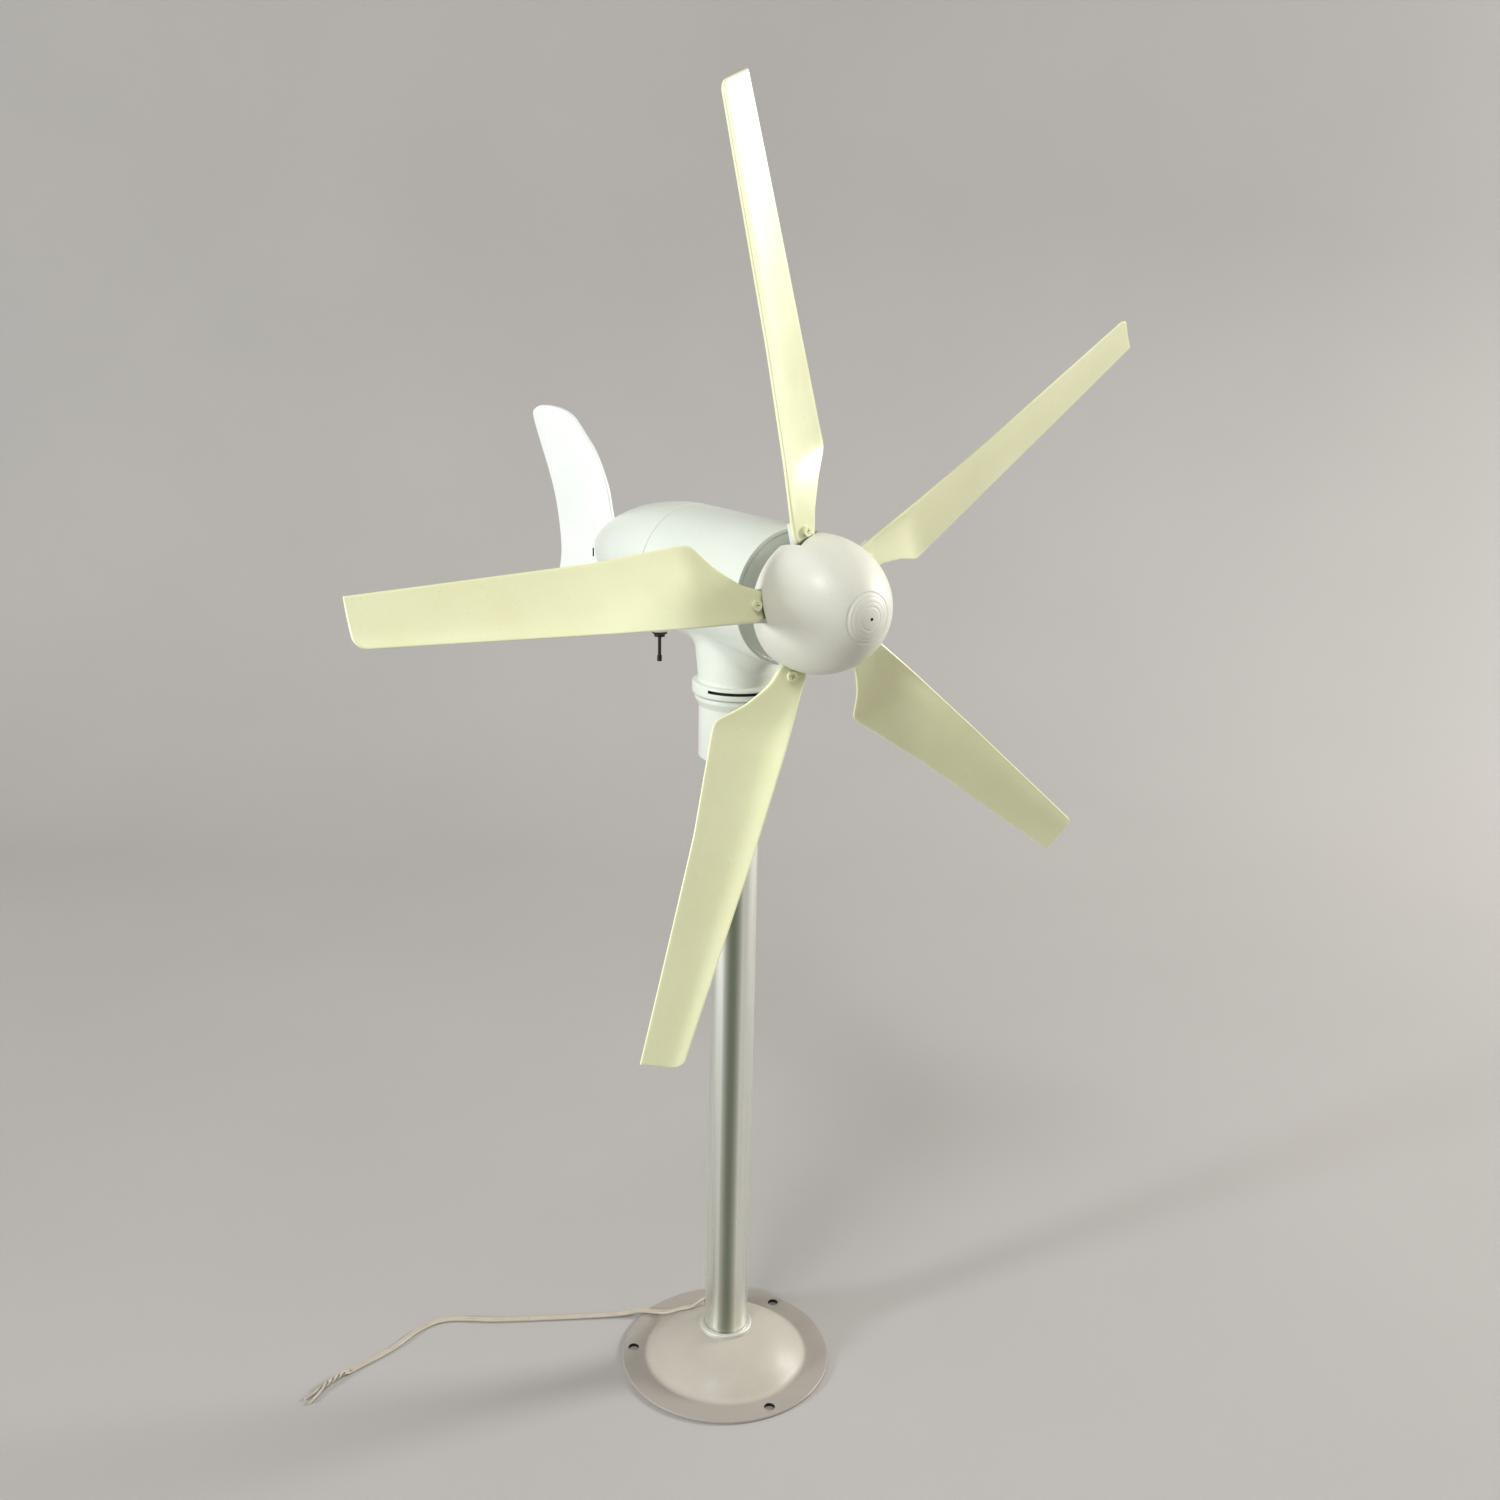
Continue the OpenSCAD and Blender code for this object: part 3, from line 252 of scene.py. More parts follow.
CAD_LOOKS = {
    STEEL: ("yaw_bearing_outer_races yaw_bearing_balls bearing_spacer yaw_shaft yaw_spacer "
            "yaw_bearing_inner_races yaw_shaft_nut rotor_shaft motor_bearings brush_springs "
            "tail_cone_screws fin_screw fin_nut blade_nuts"),
    PLATED: "switch_terminals switch_washer",
    BLADE: "blade_screws",
    DARK: ("switch_bushing hub_grub_screw sleeve_grub_screws yaw_flange_screws "
           "motor_mount_screws rotor_grub_screw"),
    BLACK: "slip_ring_housing slip_ring_drum motor_rear_cap",
    BRASS: "slip_ring_bands motor_terminals",
    COPPER: "slip_ring_brushes armature_windings commutator",
    MOTOR: "motor_can motor_front_cap",
    FERRITE: "motor_magnets motor_brushes armature_core",
    RED: "motor_to_switch_wire nacelle_drop_wires",
    SWITCH: "switch_body",
    RUBBER: "cable_grommet",
    BODY: "blade_hub front_cover",
}
for material, names in CAD_LOOKS.items():
    for name in names.split():
        NODES[name].data.materials.clear()
        NODES[name].data.materials.append(material)


# ---------------------------------------------------------------- mesh tools

def mesh(name, verts, faces, material, sharp=35.0):
    """A mesh object from millimetre vertices, welded, with outward normals and smooth shading
    below `sharp` degrees."""
    data = bpy.data.meshes.new(name)
    data.from_pydata([Vector(v) * MM for v in verts], [], faces)
    work = bmesh.new()
    work.from_mesh(data)
    bmesh.ops.remove_doubles(work, verts=work.verts, dist=1e-6)
    bmesh.ops.dissolve_degenerate(work, edges=work.edges, dist=1e-7)
    bmesh.ops.recalc_face_normals(work, faces=work.faces)
    if work.calc_volume(signed=True) < 0:
        bmesh.ops.reverse_faces(work, faces=work.faces)
    work.to_mesh(data)
    work.free()
    data.materials.append(material)
    made = bpy.data.objects.new(name, data)
    bpy.context.scene.collection.objects.link(made)
    shade(made, sharp)
    return made


def shade(obj, sharp=35.0):
    obj.data.shade_smooth()
    obj.data.set_sharp_from_angle(angle=math.radians(sharp))


def piece(obj, body, nodes):
    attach(obj, body)
    if nodes:
        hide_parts(*nodes)
    return obj


def baked(obj):
    """Apply every modifier of obj to its mesh."""
    graph = bpy.context.evaluated_depsgraph_get()
    result = bpy.data.meshes.new_from_object(obj.evaluated_get(graph))
    obj.modifiers.clear()
    obj.data = result
    return obj


def boolean(obj, tool, operation, sharp=35.0):
    """Join or cut obj by tool; faces left by a cut keep the tool's own material."""
    step = obj.modifiers.new(operation, "BOOLEAN")
    step.operation = operation
    step.solver = "EXACT"
    step.material_mode = "TRANSFER"
    step.object = tool
    baked(obj)
    bpy.data.objects.remove(tool)
    shade(obj, sharp)
    return obj


def bevel(obj, width, segments=3, angle=35.0):
    step = obj.modifiers.new("edge", "BEVEL")
    step.width = width * MM
    step.segments = segments
    step.limit_method = "ANGLE"
    step.angle_limit = math.radians(angle)
    step.harden_normals = True
    return obj


def upright(r, a, h):
    """Cylinder coordinates around the pole."""
    return (r * math.cos(a), r * math.sin(a), h)


def forward(r, a, f):
    """Cylinder coordinates around the rotor axis; f is forward of the pole axis."""
    return (r * math.cos(a), -f, AXIS_Z + r * math.sin(a))


def rounded(corners, steps=5):
    """Round the corners (r, h, radius) of a closed outline by arcs."""
    out = []
    n = len(corners)
    for i, (r, h, radius) in enumerate(corners):
        here = Vector((r, h))
        before = Vector(corners[i - 1][:2]) - here
        after = Vector(corners[(i + 1) % n][:2]) - here
        if radius <= 0:
            out.append((r, h))
            continue
        before_n, after_n = before.normalized(), after.normalized()
        half = math.acos(max(-1, min(1, before_n.dot(after_n)))) / 2
        reach = min(radius / math.tan(half), before.length * 0.5, after.length * 0.5)
        actual = reach * math.tan(half)
        middle = here + (before_n + after_n).normalized() * (actual / math.sin(half))
        start = here + before_n * reach - middle
        end = here + after_n * reach - middle
        turn = start.angle_signed(end)
        for k in range(steps + 1):
            spin = Matrix.Rotation(-turn * k / steps, 2)
            point = middle + spin @ start
            out.append((point.x, point.y))
    return out


def lathe(name, outline, place, material, count=160, sharp=35.0):
    """Turn a closed outline of (r, h) around an axis; points on the axis become poles."""
    verts, rings, faces = [], [], []
    for r, h in outline:
        if r < 1e-6:
            rings.append([len(verts)])
            verts.append(place(0, 0, h))
        else:
            rings.append(list(range(len(verts), len(verts) + count)))
            verts += [place(r, 2 * math.pi * k / count, h) for k in range(count)]
    for a, b in zip(rings, rings[1:] + rings[:1]):
        for k in range(count):
            k2 = (k + 1) % count
            quad = [a[k % len(a)], a[k2 % len(a)], b[k2 % len(b)], b[k % len(b)]]
            face = [v for i, v in enumerate(quad) if v not in quad[:i]]
            if len(face) > 2:
                faces.append(face)
    return mesh(name, verts, faces, material, sharp)


def arc(center_r, center_h, radius, from_deg, to_deg, steps):
    return [(center_r + radius * math.cos(math.radians(from_deg + (to_deg - from_deg) * k / steps)),
             center_h + radius * math.sin(math.radians(from_deg + (to_deg - from_deg) * k / steps)))
            for k in range(steps + 1)]


def spline(points, steps):
    """Catmull-Rom path through points (Vectors)."""
    out = []
    for i in range(len(points) - 1):
        p0, p1, p2, p3 = (points[max(i - 1, 0)], points[i], points[i + 1],
                          points[min(i + 2, len(points) - 1)])
        for k in range(steps):
            t = k / steps
            out.append(0.5 * (2 * p1 + (p2 - p0) * t + (2 * p0 - 5 * p1 + 4 * p2 - p3) * t * t
                              + (3 * p1 - p0 - 3 * p2 + p3) * t ** 3))
    return out + [points[-1]]


def sweep(section, path, side_at, scale_at=None):
    """Vertices and faces of a closed section swept along a path."""
    verts, faces, k = [], [], len(section)
    for i, p in enumerate(path):
        ahead = (path[min(i + 1, len(path) - 1)] - path[max(i - 1, 0)]).normalized()
        side = side_at(i, ahead)
        side = (side - ahead * side.dot(ahead)).normalized()
        up = ahead.cross(side)
        grow = scale_at(i) if scale_at else 1.0
        verts += [p + side * (s[0] * grow) + up * (s[1] * grow) for s in section]
    for i in range(len(path) - 1):
        for j in range(k):
            j2 = (j + 1) % k
            faces.append([i * k + j, i * k + j2, (i + 1) * k + j2, (i + 1) * k + j])
    faces.append(list(range(k)))
    faces.append([(len(path) - 1) * k + j for j in range(k)])
    return verts, faces


def circle(radius, count):
    return [(radius * math.cos(2 * math.pi * k / count), radius * math.sin(2 * math.pi * k / count))
            for k in range(count)]


def cuboid(name, low, high, turn=None, look=None, lean=0.0):
    """A box; lean raises its top at the low x side."""
    verts = [(x, y, z + (lean if x == low[0] and z == high[2] else 0))
             for x in (low[0], high[0]) for y in (low[1], high[1]) for z in (low[2], high[2])]
    if turn:
        verts = [turn(*v) for v in verts]
    return mesh(name, verts,
                [(0, 1, 3, 2), (4, 6, 7, 5), (0, 4, 5, 1), (2, 3, 7, 6), (0, 2, 6, 4), (1, 5, 7, 3)],
                look or BODY)


# ---------------------------------------------------------------- base and pole

_, flange_high = box("base_flange")
BASE_R = flange_high.x
pole_low, pole_high = box("pole_tube")
POLE_R = pole_high.x
hub_top = box("base_hub")[1].z
SHEET = 2.0
DOME_R = 46.5
DOME_TOP = flange_high.z
COLLAR_R = 15.2
HOLE_RING = 55.0
HOLE_R = 2.75
HOLE_PHASE = 22.0


def dome():
    center = (COLLAR_R ** 2 + DOME_TOP ** 2 - DOME_R ** 2 - SHEET ** 2) / (2 * (DOME_TOP - SHEET))
    radius = math.hypot(DOME_R, SHEET - center)

    def over(r, drop=0.0):
        return center + math.sqrt((radius - drop) ** 2 - r * r)

    foot = 2.0
    steps = 26
    top = [(COLLAR_R + (DOME_R - foot - COLLAR_R) * k / steps, 0) for k in range(steps + 1)]
    outline = [(r, over(r)) for r, _ in top]
    # A small inside radius where the dome is pressed up out of the rim
    start = Vector((top[-1][0], over(top[-1][0])))
    mid_point = Vector((DOME_R + 0.2, SHEET))
    end = Vector((DOME_R + 2.4, SHEET))
    for k in range(1, 7):
        t = k / 6
        p = start * (1 - t) ** 2 + mid_point * 2 * t * (1 - t) + end * t * t
        outline.append((p.x, p.y))
    edge = rounded([(DOME_R + 6, SHEET, 0), (BASE_R, SHEET, 0.95), (BASE_R, 0, 0.8), (DOME_R + 6, 0, 0)], 5)
    outline += edge
    under_r = [DOME_R - 3.4 - (DOME_R - 3.4 - COLLAR_R) * k / steps for k in range(steps + 1)]
    under = [(DOME_R - 2.2, 0.0)] + [(r, over(r, SHEET)) for r in under_r]
    outline += under
    made = lathe("base_flange_sheet", outline, upright, BASE, 192, 40)
    for k in range(3):
        a = math.radians(HOLE_PHASE + 120 * k)
        x, y = HOLE_RING * math.cos(a), HOLE_RING * math.sin(a)
        # The hole walls take the near-black dark steel look: painted shade inside the holes
        hole = lathe("hole", [(0, -2), (HOLE_R + 0.5, -2), (HOLE_R + 0.5, -0.2), (HOLE_R, 0.5),
                              (HOLE_R, SHEET - 0.35), (HOLE_R + 0.12, SHEET - 0.12),
                              (HOLE_R + 0.4, SHEET + 0.02), (HOLE_R + 0.4, SHEET + 2),
                              (0, SHEET + 2)],
                     lambda r, t, h: (x + r * math.cos(t), y + r * math.sin(t), h), DARK, 40)
        boolean(made, hole, "DIFFERENCE", 40)
    return made


piece(dome(), "tower", ["base_flange"])

collar = lathe("base_hub_collar", rounded([
    (POLE_R, 3.0, 0.3), (20.0, 3.0, 0.4), (20.0, box("base_flange")[1].z - 4.6, 0.4),
    (COLLAR_R, box("base_flange")[1].z - 4.6, 0.2), (COLLAR_R, hub_top, 1.0), (POLE_R, hub_top, 0.45)]),
    upright, HUB_GREY, 128)
piece(collar, "tower", ["base_hub"])

EXIT_Z, EXIT_A = 31.0, math.radians(96)
POLE_IN = POLE_R - 1.5
tube = lathe("pole_tube_drawn", rounded([(POLE_IN, pole_low.z, 0.3), (POLE_R, pole_low.z, 0.3),
                                         (POLE_R, pole_high.z, 0.3), (POLE_IN, pole_high.z, 0.3)], 3),
             upright, POLE, 160)


def at_exit(r, a, h):
    out = Vector((math.cos(EXIT_A), math.sin(EXIT_A), 0))
    side = Vector((-math.sin(EXIT_A), math.cos(EXIT_A), 0))
    return out * (POLE_R + h) + side * (r * math.cos(a)) + Vector((0, 0, EXIT_Z + r * math.sin(a)))


boolean(tube, lathe("hole", [(0, -4), (3.2, -4), (3.2, 4), (0, 4)], at_exit, POLE, 48), "DIFFERENCE")
piece(tube, "tower", ["pole_tube"])

# ---------------------------------------------------------------- yaw sleeve and its collar

sleeve_low, sleeve_high = box("tower_sleeve")
SLEEVE_R = 20.3
COLLAR = 24.0
LIP_R = sleeve_high.x
sleeve = lathe("tower_sleeve_moulded", rounded([
    (POLE_R, sleeve_low.z, 0.4), (SLEEVE_R, sleeve_low.z, 0.9), (SLEEVE_R, 404.4, 2.0), (LIP_R, 408.2, 1.6),
    (LIP_R, sleeve_high.z, 0.7), (9.5, sleeve_high.z, 0.4), (9.5, 400, 0.2), (POLE_R, 400, 0.2)], 6),
    upright, BODY, 160)
piece(sleeve, "tower", ["tower_sleeve"])

# ---------------------------------------------------------------- nacelle body with its neck

body_low, body_high = box("nacelle_body")
BODY_R = body_high.x
FRONT = -body_low.y
SEAM = -body_high.y
BODY_END = SEAM + 0.4                        # a hair of daylight shows the joint with the tail cone
WALL = 2.2
NECK_Z = body_low.z
FLOOR_Z = NECK_Z + 5
NECK_LOW_R, NECK_R = 20.9, 22.3
COLLAR_TOP = NECK_Z + 7.6
SLOT_Z, SLOT_HIGH, SLOT_DEEP, SLOT_BACK = NECK_Z + 3.2, 1.6, 2.4, -6.0
BALL = 11.3
BORE = 18.5
AROUND = 256


def cylinder_with_hole(radius, f_low, f_high, hole):
    """Faces of a cylinder about the rotor axis around a hole below; hole gives (x, y) of its edge at angle a.
    Returns vertex rows from the hole's edge outwards, the last rows lying on the two end circles."""
    half_turn = math.pi * radius
    sides = [(1, AROUND // 16), (2, AROUND * 7 // 16), (3, AROUND // 16), (4, AROUND * 7 // 16)]
    border = []
    lo, hi = -f_high, -f_low                       # world y limits
    for side, count in sides:
        for k in range(count):
            t = k / count
            if side == 1:
                border.append((half_turn, lo + (hi - lo) * t))
            elif side == 2:
                border.append((half_turn - 2 * half_turn * t, hi))
            elif side == 3:
                border.append((-half_turn, hi - (hi - lo) * t))
            else:
                border.append((-half_turn + 2 * half_turn * t, lo))
    rows = []
    inner = []
    for u, v in border:
        # Angle of the hole's point that each border point is joined to
        a = math.atan2((v - (lo + hi) / 2) / (hi - lo) * 2, u / half_turn)
        x, y = hole(a)
        inner.append((radius * math.asin(x / radius), y))
    steps = 48
    for j in range(steps + 1):
        t = (j / steps) ** 1.25
        row = []
        for (u0, v0), (u1, v1) in zip(inner, border):
            u, v = u0 + (u1 - u0) * t, v0 + (v1 - v0) * t
            row.append((radius * math.sin(u / radius), v, AXIS_Z - radius * math.cos(u / radius)))
        rows.append(row)
    return rows


def strips(verts, faces, rows, closed=True):
    """Append rows of points joined into quads."""
    n = len(rows[0])
    base = len(verts)
    for row in rows:
        verts += row
    for j in range(len(rows) - 1):
        for k in range(n if closed else n - 1):
            k2 = (k + 1) % n
            faces.append([base + j * n + k, base + j * n + k2,
                          base + (j + 1) * n + k2, base + (j + 1) * n + k])


def ball_at(a, radius, neck):
    """Centre of the ball that rolls in the corner between the neck and the belly, at angle a."""
    x, y = (neck + BALL) * math.cos(a), (neck + BALL) * math.sin(a)
    return x, y, AXIS_Z - math.sqrt((radius + BALL) ** 2 - x * x)


def nacelle_body():
    verts, faces = [], []
    lip = 0.5

    def flare(a):
        x, y, z = ball_at(a, BODY_R, NECK_R)
        return x * BODY_R / (BODY_R + BALL), y

    outer = cylinder_with_hole(BODY_R, BODY_END + lip, FRONT - lip, flare)
    strips(verts, faces, outer)
    # Ends of the body: rounded lips that join the outer and the inner skin
    inner_r = BODY_R - WALL

    def bore_edge(a):
        return BORE * math.cos(a), BORE * math.sin(a)

    inner = cylinder_with_hole(inner_r, BODY_END + lip, FRONT - lip, bore_edge)
    strips(verts, faces, inner)
    ring = AROUND * 7 // 16
    for sign, f in ((1, FRONT), (-1, BODY_END)):
        angles = [-math.pi + 2 * math.pi * k / ring for k in range(ring)]
        outline = [(BODY_R, f - sign * lip)]
        outline += [(BODY_R - lip + lip * math.sin(t), f - sign * lip + sign * lip * math.cos(t))
                    for t in [math.pi / 2 * (1 - k / 5) for k in range(1, 6)]]
        outline += [(inner_r + 0.25, f), (inner_r, f - sign * 0.25), (inner_r, f - sign * lip)]
        rows = [[(r * math.sin(a), -h, AXIS_Z - r * math.cos(a)) for a in angles] for r, h in outline]
        strips(verts, faces, rows)
    # The flare, the neck, its collar and the bore, all sampled at the hole's own points
    rims = []
    for x, y, z in outer[0]:
        # The contact point fixes the ball's place, hence the angle around the neck
        cx, cy = x * (BODY_R + BALL) / BODY_R, y
        rims.append(math.atan2(cy, cx))
    rows = []
    for k in range(15):
        row = []
        for a in rims:
            cx, cy, cz = ball_at(a, BODY_R, NECK_R)
            center = Vector((cx, cy, cz))
            to_belly = (Vector((cx * BODY_R / (BODY_R + BALL), cy,
                                AXIS_Z + (cz - AXIS_Z) * BODY_R / (BODY_R + BALL)))
                        - center)
            to_neck = Vector((NECK_R * math.cos(a), NECK_R * math.sin(a), cz)) - center
            t = k / 14
            whole = to_belly.angle(to_neck)
            row.append(tuple(center + (to_belly * math.sin((1 - t) * whole) + to_neck * math.sin(t * whole))
                             / math.sin(whole)))
        rows.append(row)
    for k in range(1, 7):
        t = k / 6
        row = []
        for a in rims:
            top = ball_at(a, BODY_R, NECK_R)[2]
            r = NECK_R + (NECK_LOW_R - NECK_R) * t
            row.append((r * math.cos(a), r * math.sin(a), top + (COLLAR_TOP + 0.2 - top) * t))
        rows.append(row)
    skirt = rounded([(NECK_LOW_R, COLLAR_TOP + 0.2, 0), (NECK_LOW_R, COLLAR_TOP - 1.0, 0.6),
                     (COLLAR, COLLAR_TOP - 1.4, 0.9), (COLLAR, NECK_Z, 1.1), (4.05, NECK_Z, 0.2),
                      (4.05, FLOOR_Z, 0), (BORE, FLOOR_Z, 0)], 5)
    for r, h in skirt[1:]:
        rows.append([(r * math.cos(a), r * math.sin(a), h) for a in rims])
    strips(verts, faces, rows)
    # Bore wall up to the hole in the inner skin; angles there differ, so each skin point drops straight down
    drop = [[(x, y, z + (FLOOR_Z - z) * k / 4) for x, y, z in inner[0]] for k in range(5)]
    strips(verts, faces, drop)
    bottom = [(x, y, FLOOR_Z) for x, y, z in inner[0]]
    floor_ring = [(4.05 * x / BORE, 4.05 * y / BORE, FLOOR_Z) for x, y, z in inner[0]]
    strips(verts, faces, [bottom, floor_ring])
    return mesh("nacelle_body_moulded", verts, faces, BODY, 40)


def arc_bar(name, r_in, r_out, start, end, z, height, material, steps=72):
    """A bar bent around the pole axis between two angles in degrees."""
    rows = []
    for k in range(steps + 1):
        a = math.radians(start + (end - start) * k / steps)
        rows.append([upright(r_in, a, z), upright(r_out, a, z), upright(r_out, a, z + height),
                     upright(r_in, a, z + height)])
    verts, faces = [], []
    strips(verts, faces, rows)
    last = len(verts) - 4
    faces += [[0, 1, 2, 3], [last, last + 1, last + 2, last + 3]]
    return mesh(name, verts, faces, material)


body = nacelle_body()
slot_side = math.degrees(math.asin(SLOT_BACK / COLLAR))
# The slot's cut faces take the near-black slit_shadow look: painted shade in the slot
boolean(body, arc_bar("slot", COLLAR - SLOT_DEEP, COLLAR + 3, 180 - slot_side, 360 + slot_side,
                      SLOT_Z, SLOT_HIGH, SLIT),
        "DIFFERENCE", 40)
piece(body, "nacelle", ["nacelle_body"])

# ---------------------------------------------------------------- tail cone with the switch pod

cone_low, cone_high = box("tail_cone")
OGIVE = 165.0
CONE_LEN = cone_high.y + SEAM
SWITCH_Y = (box("toggle_lever")[0].y + box("toggle_lever")[1].y) / 2
FIN_T = 3.0


def tail_cone():
    def r_at(s, thin=0.0):
        return math.sqrt((OGIVE - thin) ** 2 - s * s) - (OGIVE - BODY_R)

    steps = 64
    outer = [(BODY_R - 0.5 + 0.5 * math.sin(t), 0.5 - 0.5 * math.cos(t)) for t in
             [math.pi / 2 * k / 5 for k in range(6)]]
    outer += [(r_at(s), s) for s in [0.5 + (CONE_LEN - 2.0 - 0.5) * k / steps for k in range(1, steps + 1)]]
    tip_r = outer[-1][0]
    outer += [(tip_r * math.cos(t), CONE_LEN - 2.0 + 2.0 * math.sin(t)) for t in [0.4, 0.8, 1.2]]
    outer += [(0, CONE_LEN)]
    inner = [(0, CONE_LEN - 7)] + [(r_at(s, WALL), s) for s in
                                   [(CONE_LEN - 9) * (1 - k / 24) for k in range(25)]]
    outline = outer + inner[:-1] + [(BODY_R - WALL - 2, 3), (BODY_R - WALL - 2, -5), (BODY_R - WALL, -5),
                                    (BODY_R - WALL, 0)]
    cone = lathe("tail_cone_moulded", outline, lambda r, a, h: forward(r, a, SEAM - h), BODY, 192, 40)
    pod_low = cone_low.z
    pod = lathe("pod", rounded([(0, pod_low, 0), (6.5, pod_low, 0.6), (9.6, 442.4, 0), (0, 442.4, 0)], 4),
                lambda r, a, h: (r * math.cos(a), SWITCH_Y + r * math.sin(a), h), BODY, 64)
    boolean(cone, pod, "UNION", 40)
    fin_slot = cuboid("slot", (-FIN_T / 2, 118.6, AXIS_Z - 30), (FIN_T / 2, 178, AXIS_Z + 30))
    boolean(cone, fin_slot, "DIFFERENCE", 40)
    switch_seat = cuboid("seat", (-6, SWITCH_Y - 3.8, 434), (6, SWITCH_Y + 3.8, 447))
    boolean(cone, switch_seat, "DIFFERENCE", 40)
    bushing_hole = lathe("hole", [(0, 420), (3.02, 420), (3.02, 440), (0, 440)],
                         lambda r, a, h: (r * math.cos(a), SWITCH_Y + r * math.sin(a), h), BODY, 48)
    return boolean(cone, bushing_hole, "DIFFERENCE", 40)


piece(tail_cone(), "nacelle", ["tail_cone"])

# ---------------------------------------------------------------- tail fin

FIN_OUTLINE = [(119, 12), (124.5, 17), (130, 33), (142, 50), (154, 59.5), (168, 69), (182, 72.4), (200, 72.8),
               (210.5, 70.6), (214, 65.4), (205, 49.5), (196.5, 36), (189, 21.5), (184, 5), (182, -10.5),
               (184, -21),
               (188.5, -33), (188, -41), (181, -45.5), (168, -42.5), (153, -31), (141, -15), (134, -8),
               (131, -7), (105, -7), (105, 9), (117, 9)]
SOFT = 23                                    # the first outline points are smooth; the tang after them is not


def tail_fin():
    points = [Vector((y, z)) for y, z in FIN_OUTLINE]
    path = spline(points[:SOFT], 10) + points[SOFT:]
    n = len(path)
    normals = []
    for i in range(n):
        d = (path[(i + 1) % n] - path[i - 1]).normalized()
        normals.append(Vector((d.y, -d.x)))
    area = sum(path[i - 1].cross(path[i]) for i in range(n))
    if area > 0:
        normals = [-v for v in normals]
    half, edge = FIN_T / 2 - 0.05, 1.1
    rows = []
    for k in range(9):
        t = math.pi * k / 8 - math.pi / 2
        x = half - edge + edge * math.sin(abs(t)) if t > 0 else -(half - edge + edge * math.sin(abs(t)))
        inset = edge * (1 - math.cos(t))
        rows.append([(x, p.x + q.x * inset, AXIS_Z + p.y + q.y * inset) for p, q in zip(path, normals)])
    verts, faces = [], []
    strips(verts, faces, rows)
    for row_index in (0, 8):
        base = row_index * n
        flat = [Vector((verts[base + i][1], verts[base + i][2], 0)) for i in range(n)]
        faces += [[base + i for i in tri] for tri in tessellate_polygon([flat])]
    fin = mesh("tail_fin_moulded", verts, faces, FIN, 40)
    # The slit's cut faces take the near-black slit_shadow look: painted shade in the slit
    slit = cuboid("slit", (-3, 143.1, AXIS_Z - 9.4), (0.2, 144.7, AXIS_Z - 4.4), look=SLIT)
    return boolean(fin, slit, "DIFFERENCE", 40)


piece(tail_fin(), "nacelle", ["tail_fin"])

# ---------------------------------------------------------------- toggle switch

for name, look, width in (("switch_nut", DARK, 0.25), ("toggle_lever", DARK, 0.3)):
    NODES[name].data.materials.clear()
    NODES[name].data.materials.append(look)
    bevel(NODES[name], width)

# ---------------------------------------------------------------- blades

PHASE = -13.65
ROTOR_F = 67.0
TIP_R = 239.8
KINK_R = 70.0
LEAD = [(14, -5.5), (30, -5.5), (36, -8), (TIP_R, -10)]
TRAIL = [(14, 5.5), (30, 5.5), (36, 7.4), (44, 9.4), (50, 12.6), (57, 16.8), (63, 21.6), (67.5, 25.8),
         (KINK_R, 27),
         (74, 26.8), (125, 20.4), (TIP_R, 10.2)]
PITCH = [(42, 13), (56, 19), (KINK_R, 24.7), (125, 23.7), (TIP_R, 20.7)]
MIDDLE = [(42, -4.2), (KINK_R, -2.8), (125, -0.7), (TIP_R, 0)]
CAMBER = [(42, 0), (56, 0.05), (KINK_R, 0.08), (TIP_R, 0.06)]
TIP_ROUND, TIP_RAKE = 5.5, 2.6


def lookup(x, table):
    if x <= table[0][0]:
        return table[0][1]
    for (x0, y0), (x1, y1) in zip(table, table[1:]):
        if x <= x1:
            return y0 + (y1 - y0) * (x - x0) / (x1 - x0)
    return table[-1][1]


def eased(x, table, reach):
    """The table read with its corners rounded over +-reach, and exact at both ends."""
    reach = max(0.0, min(reach, x - table[0][0], table[-1][0] - x))
    return sum(lookup(x + reach * k / 4, table) for k in range(-4, 5)) / 9


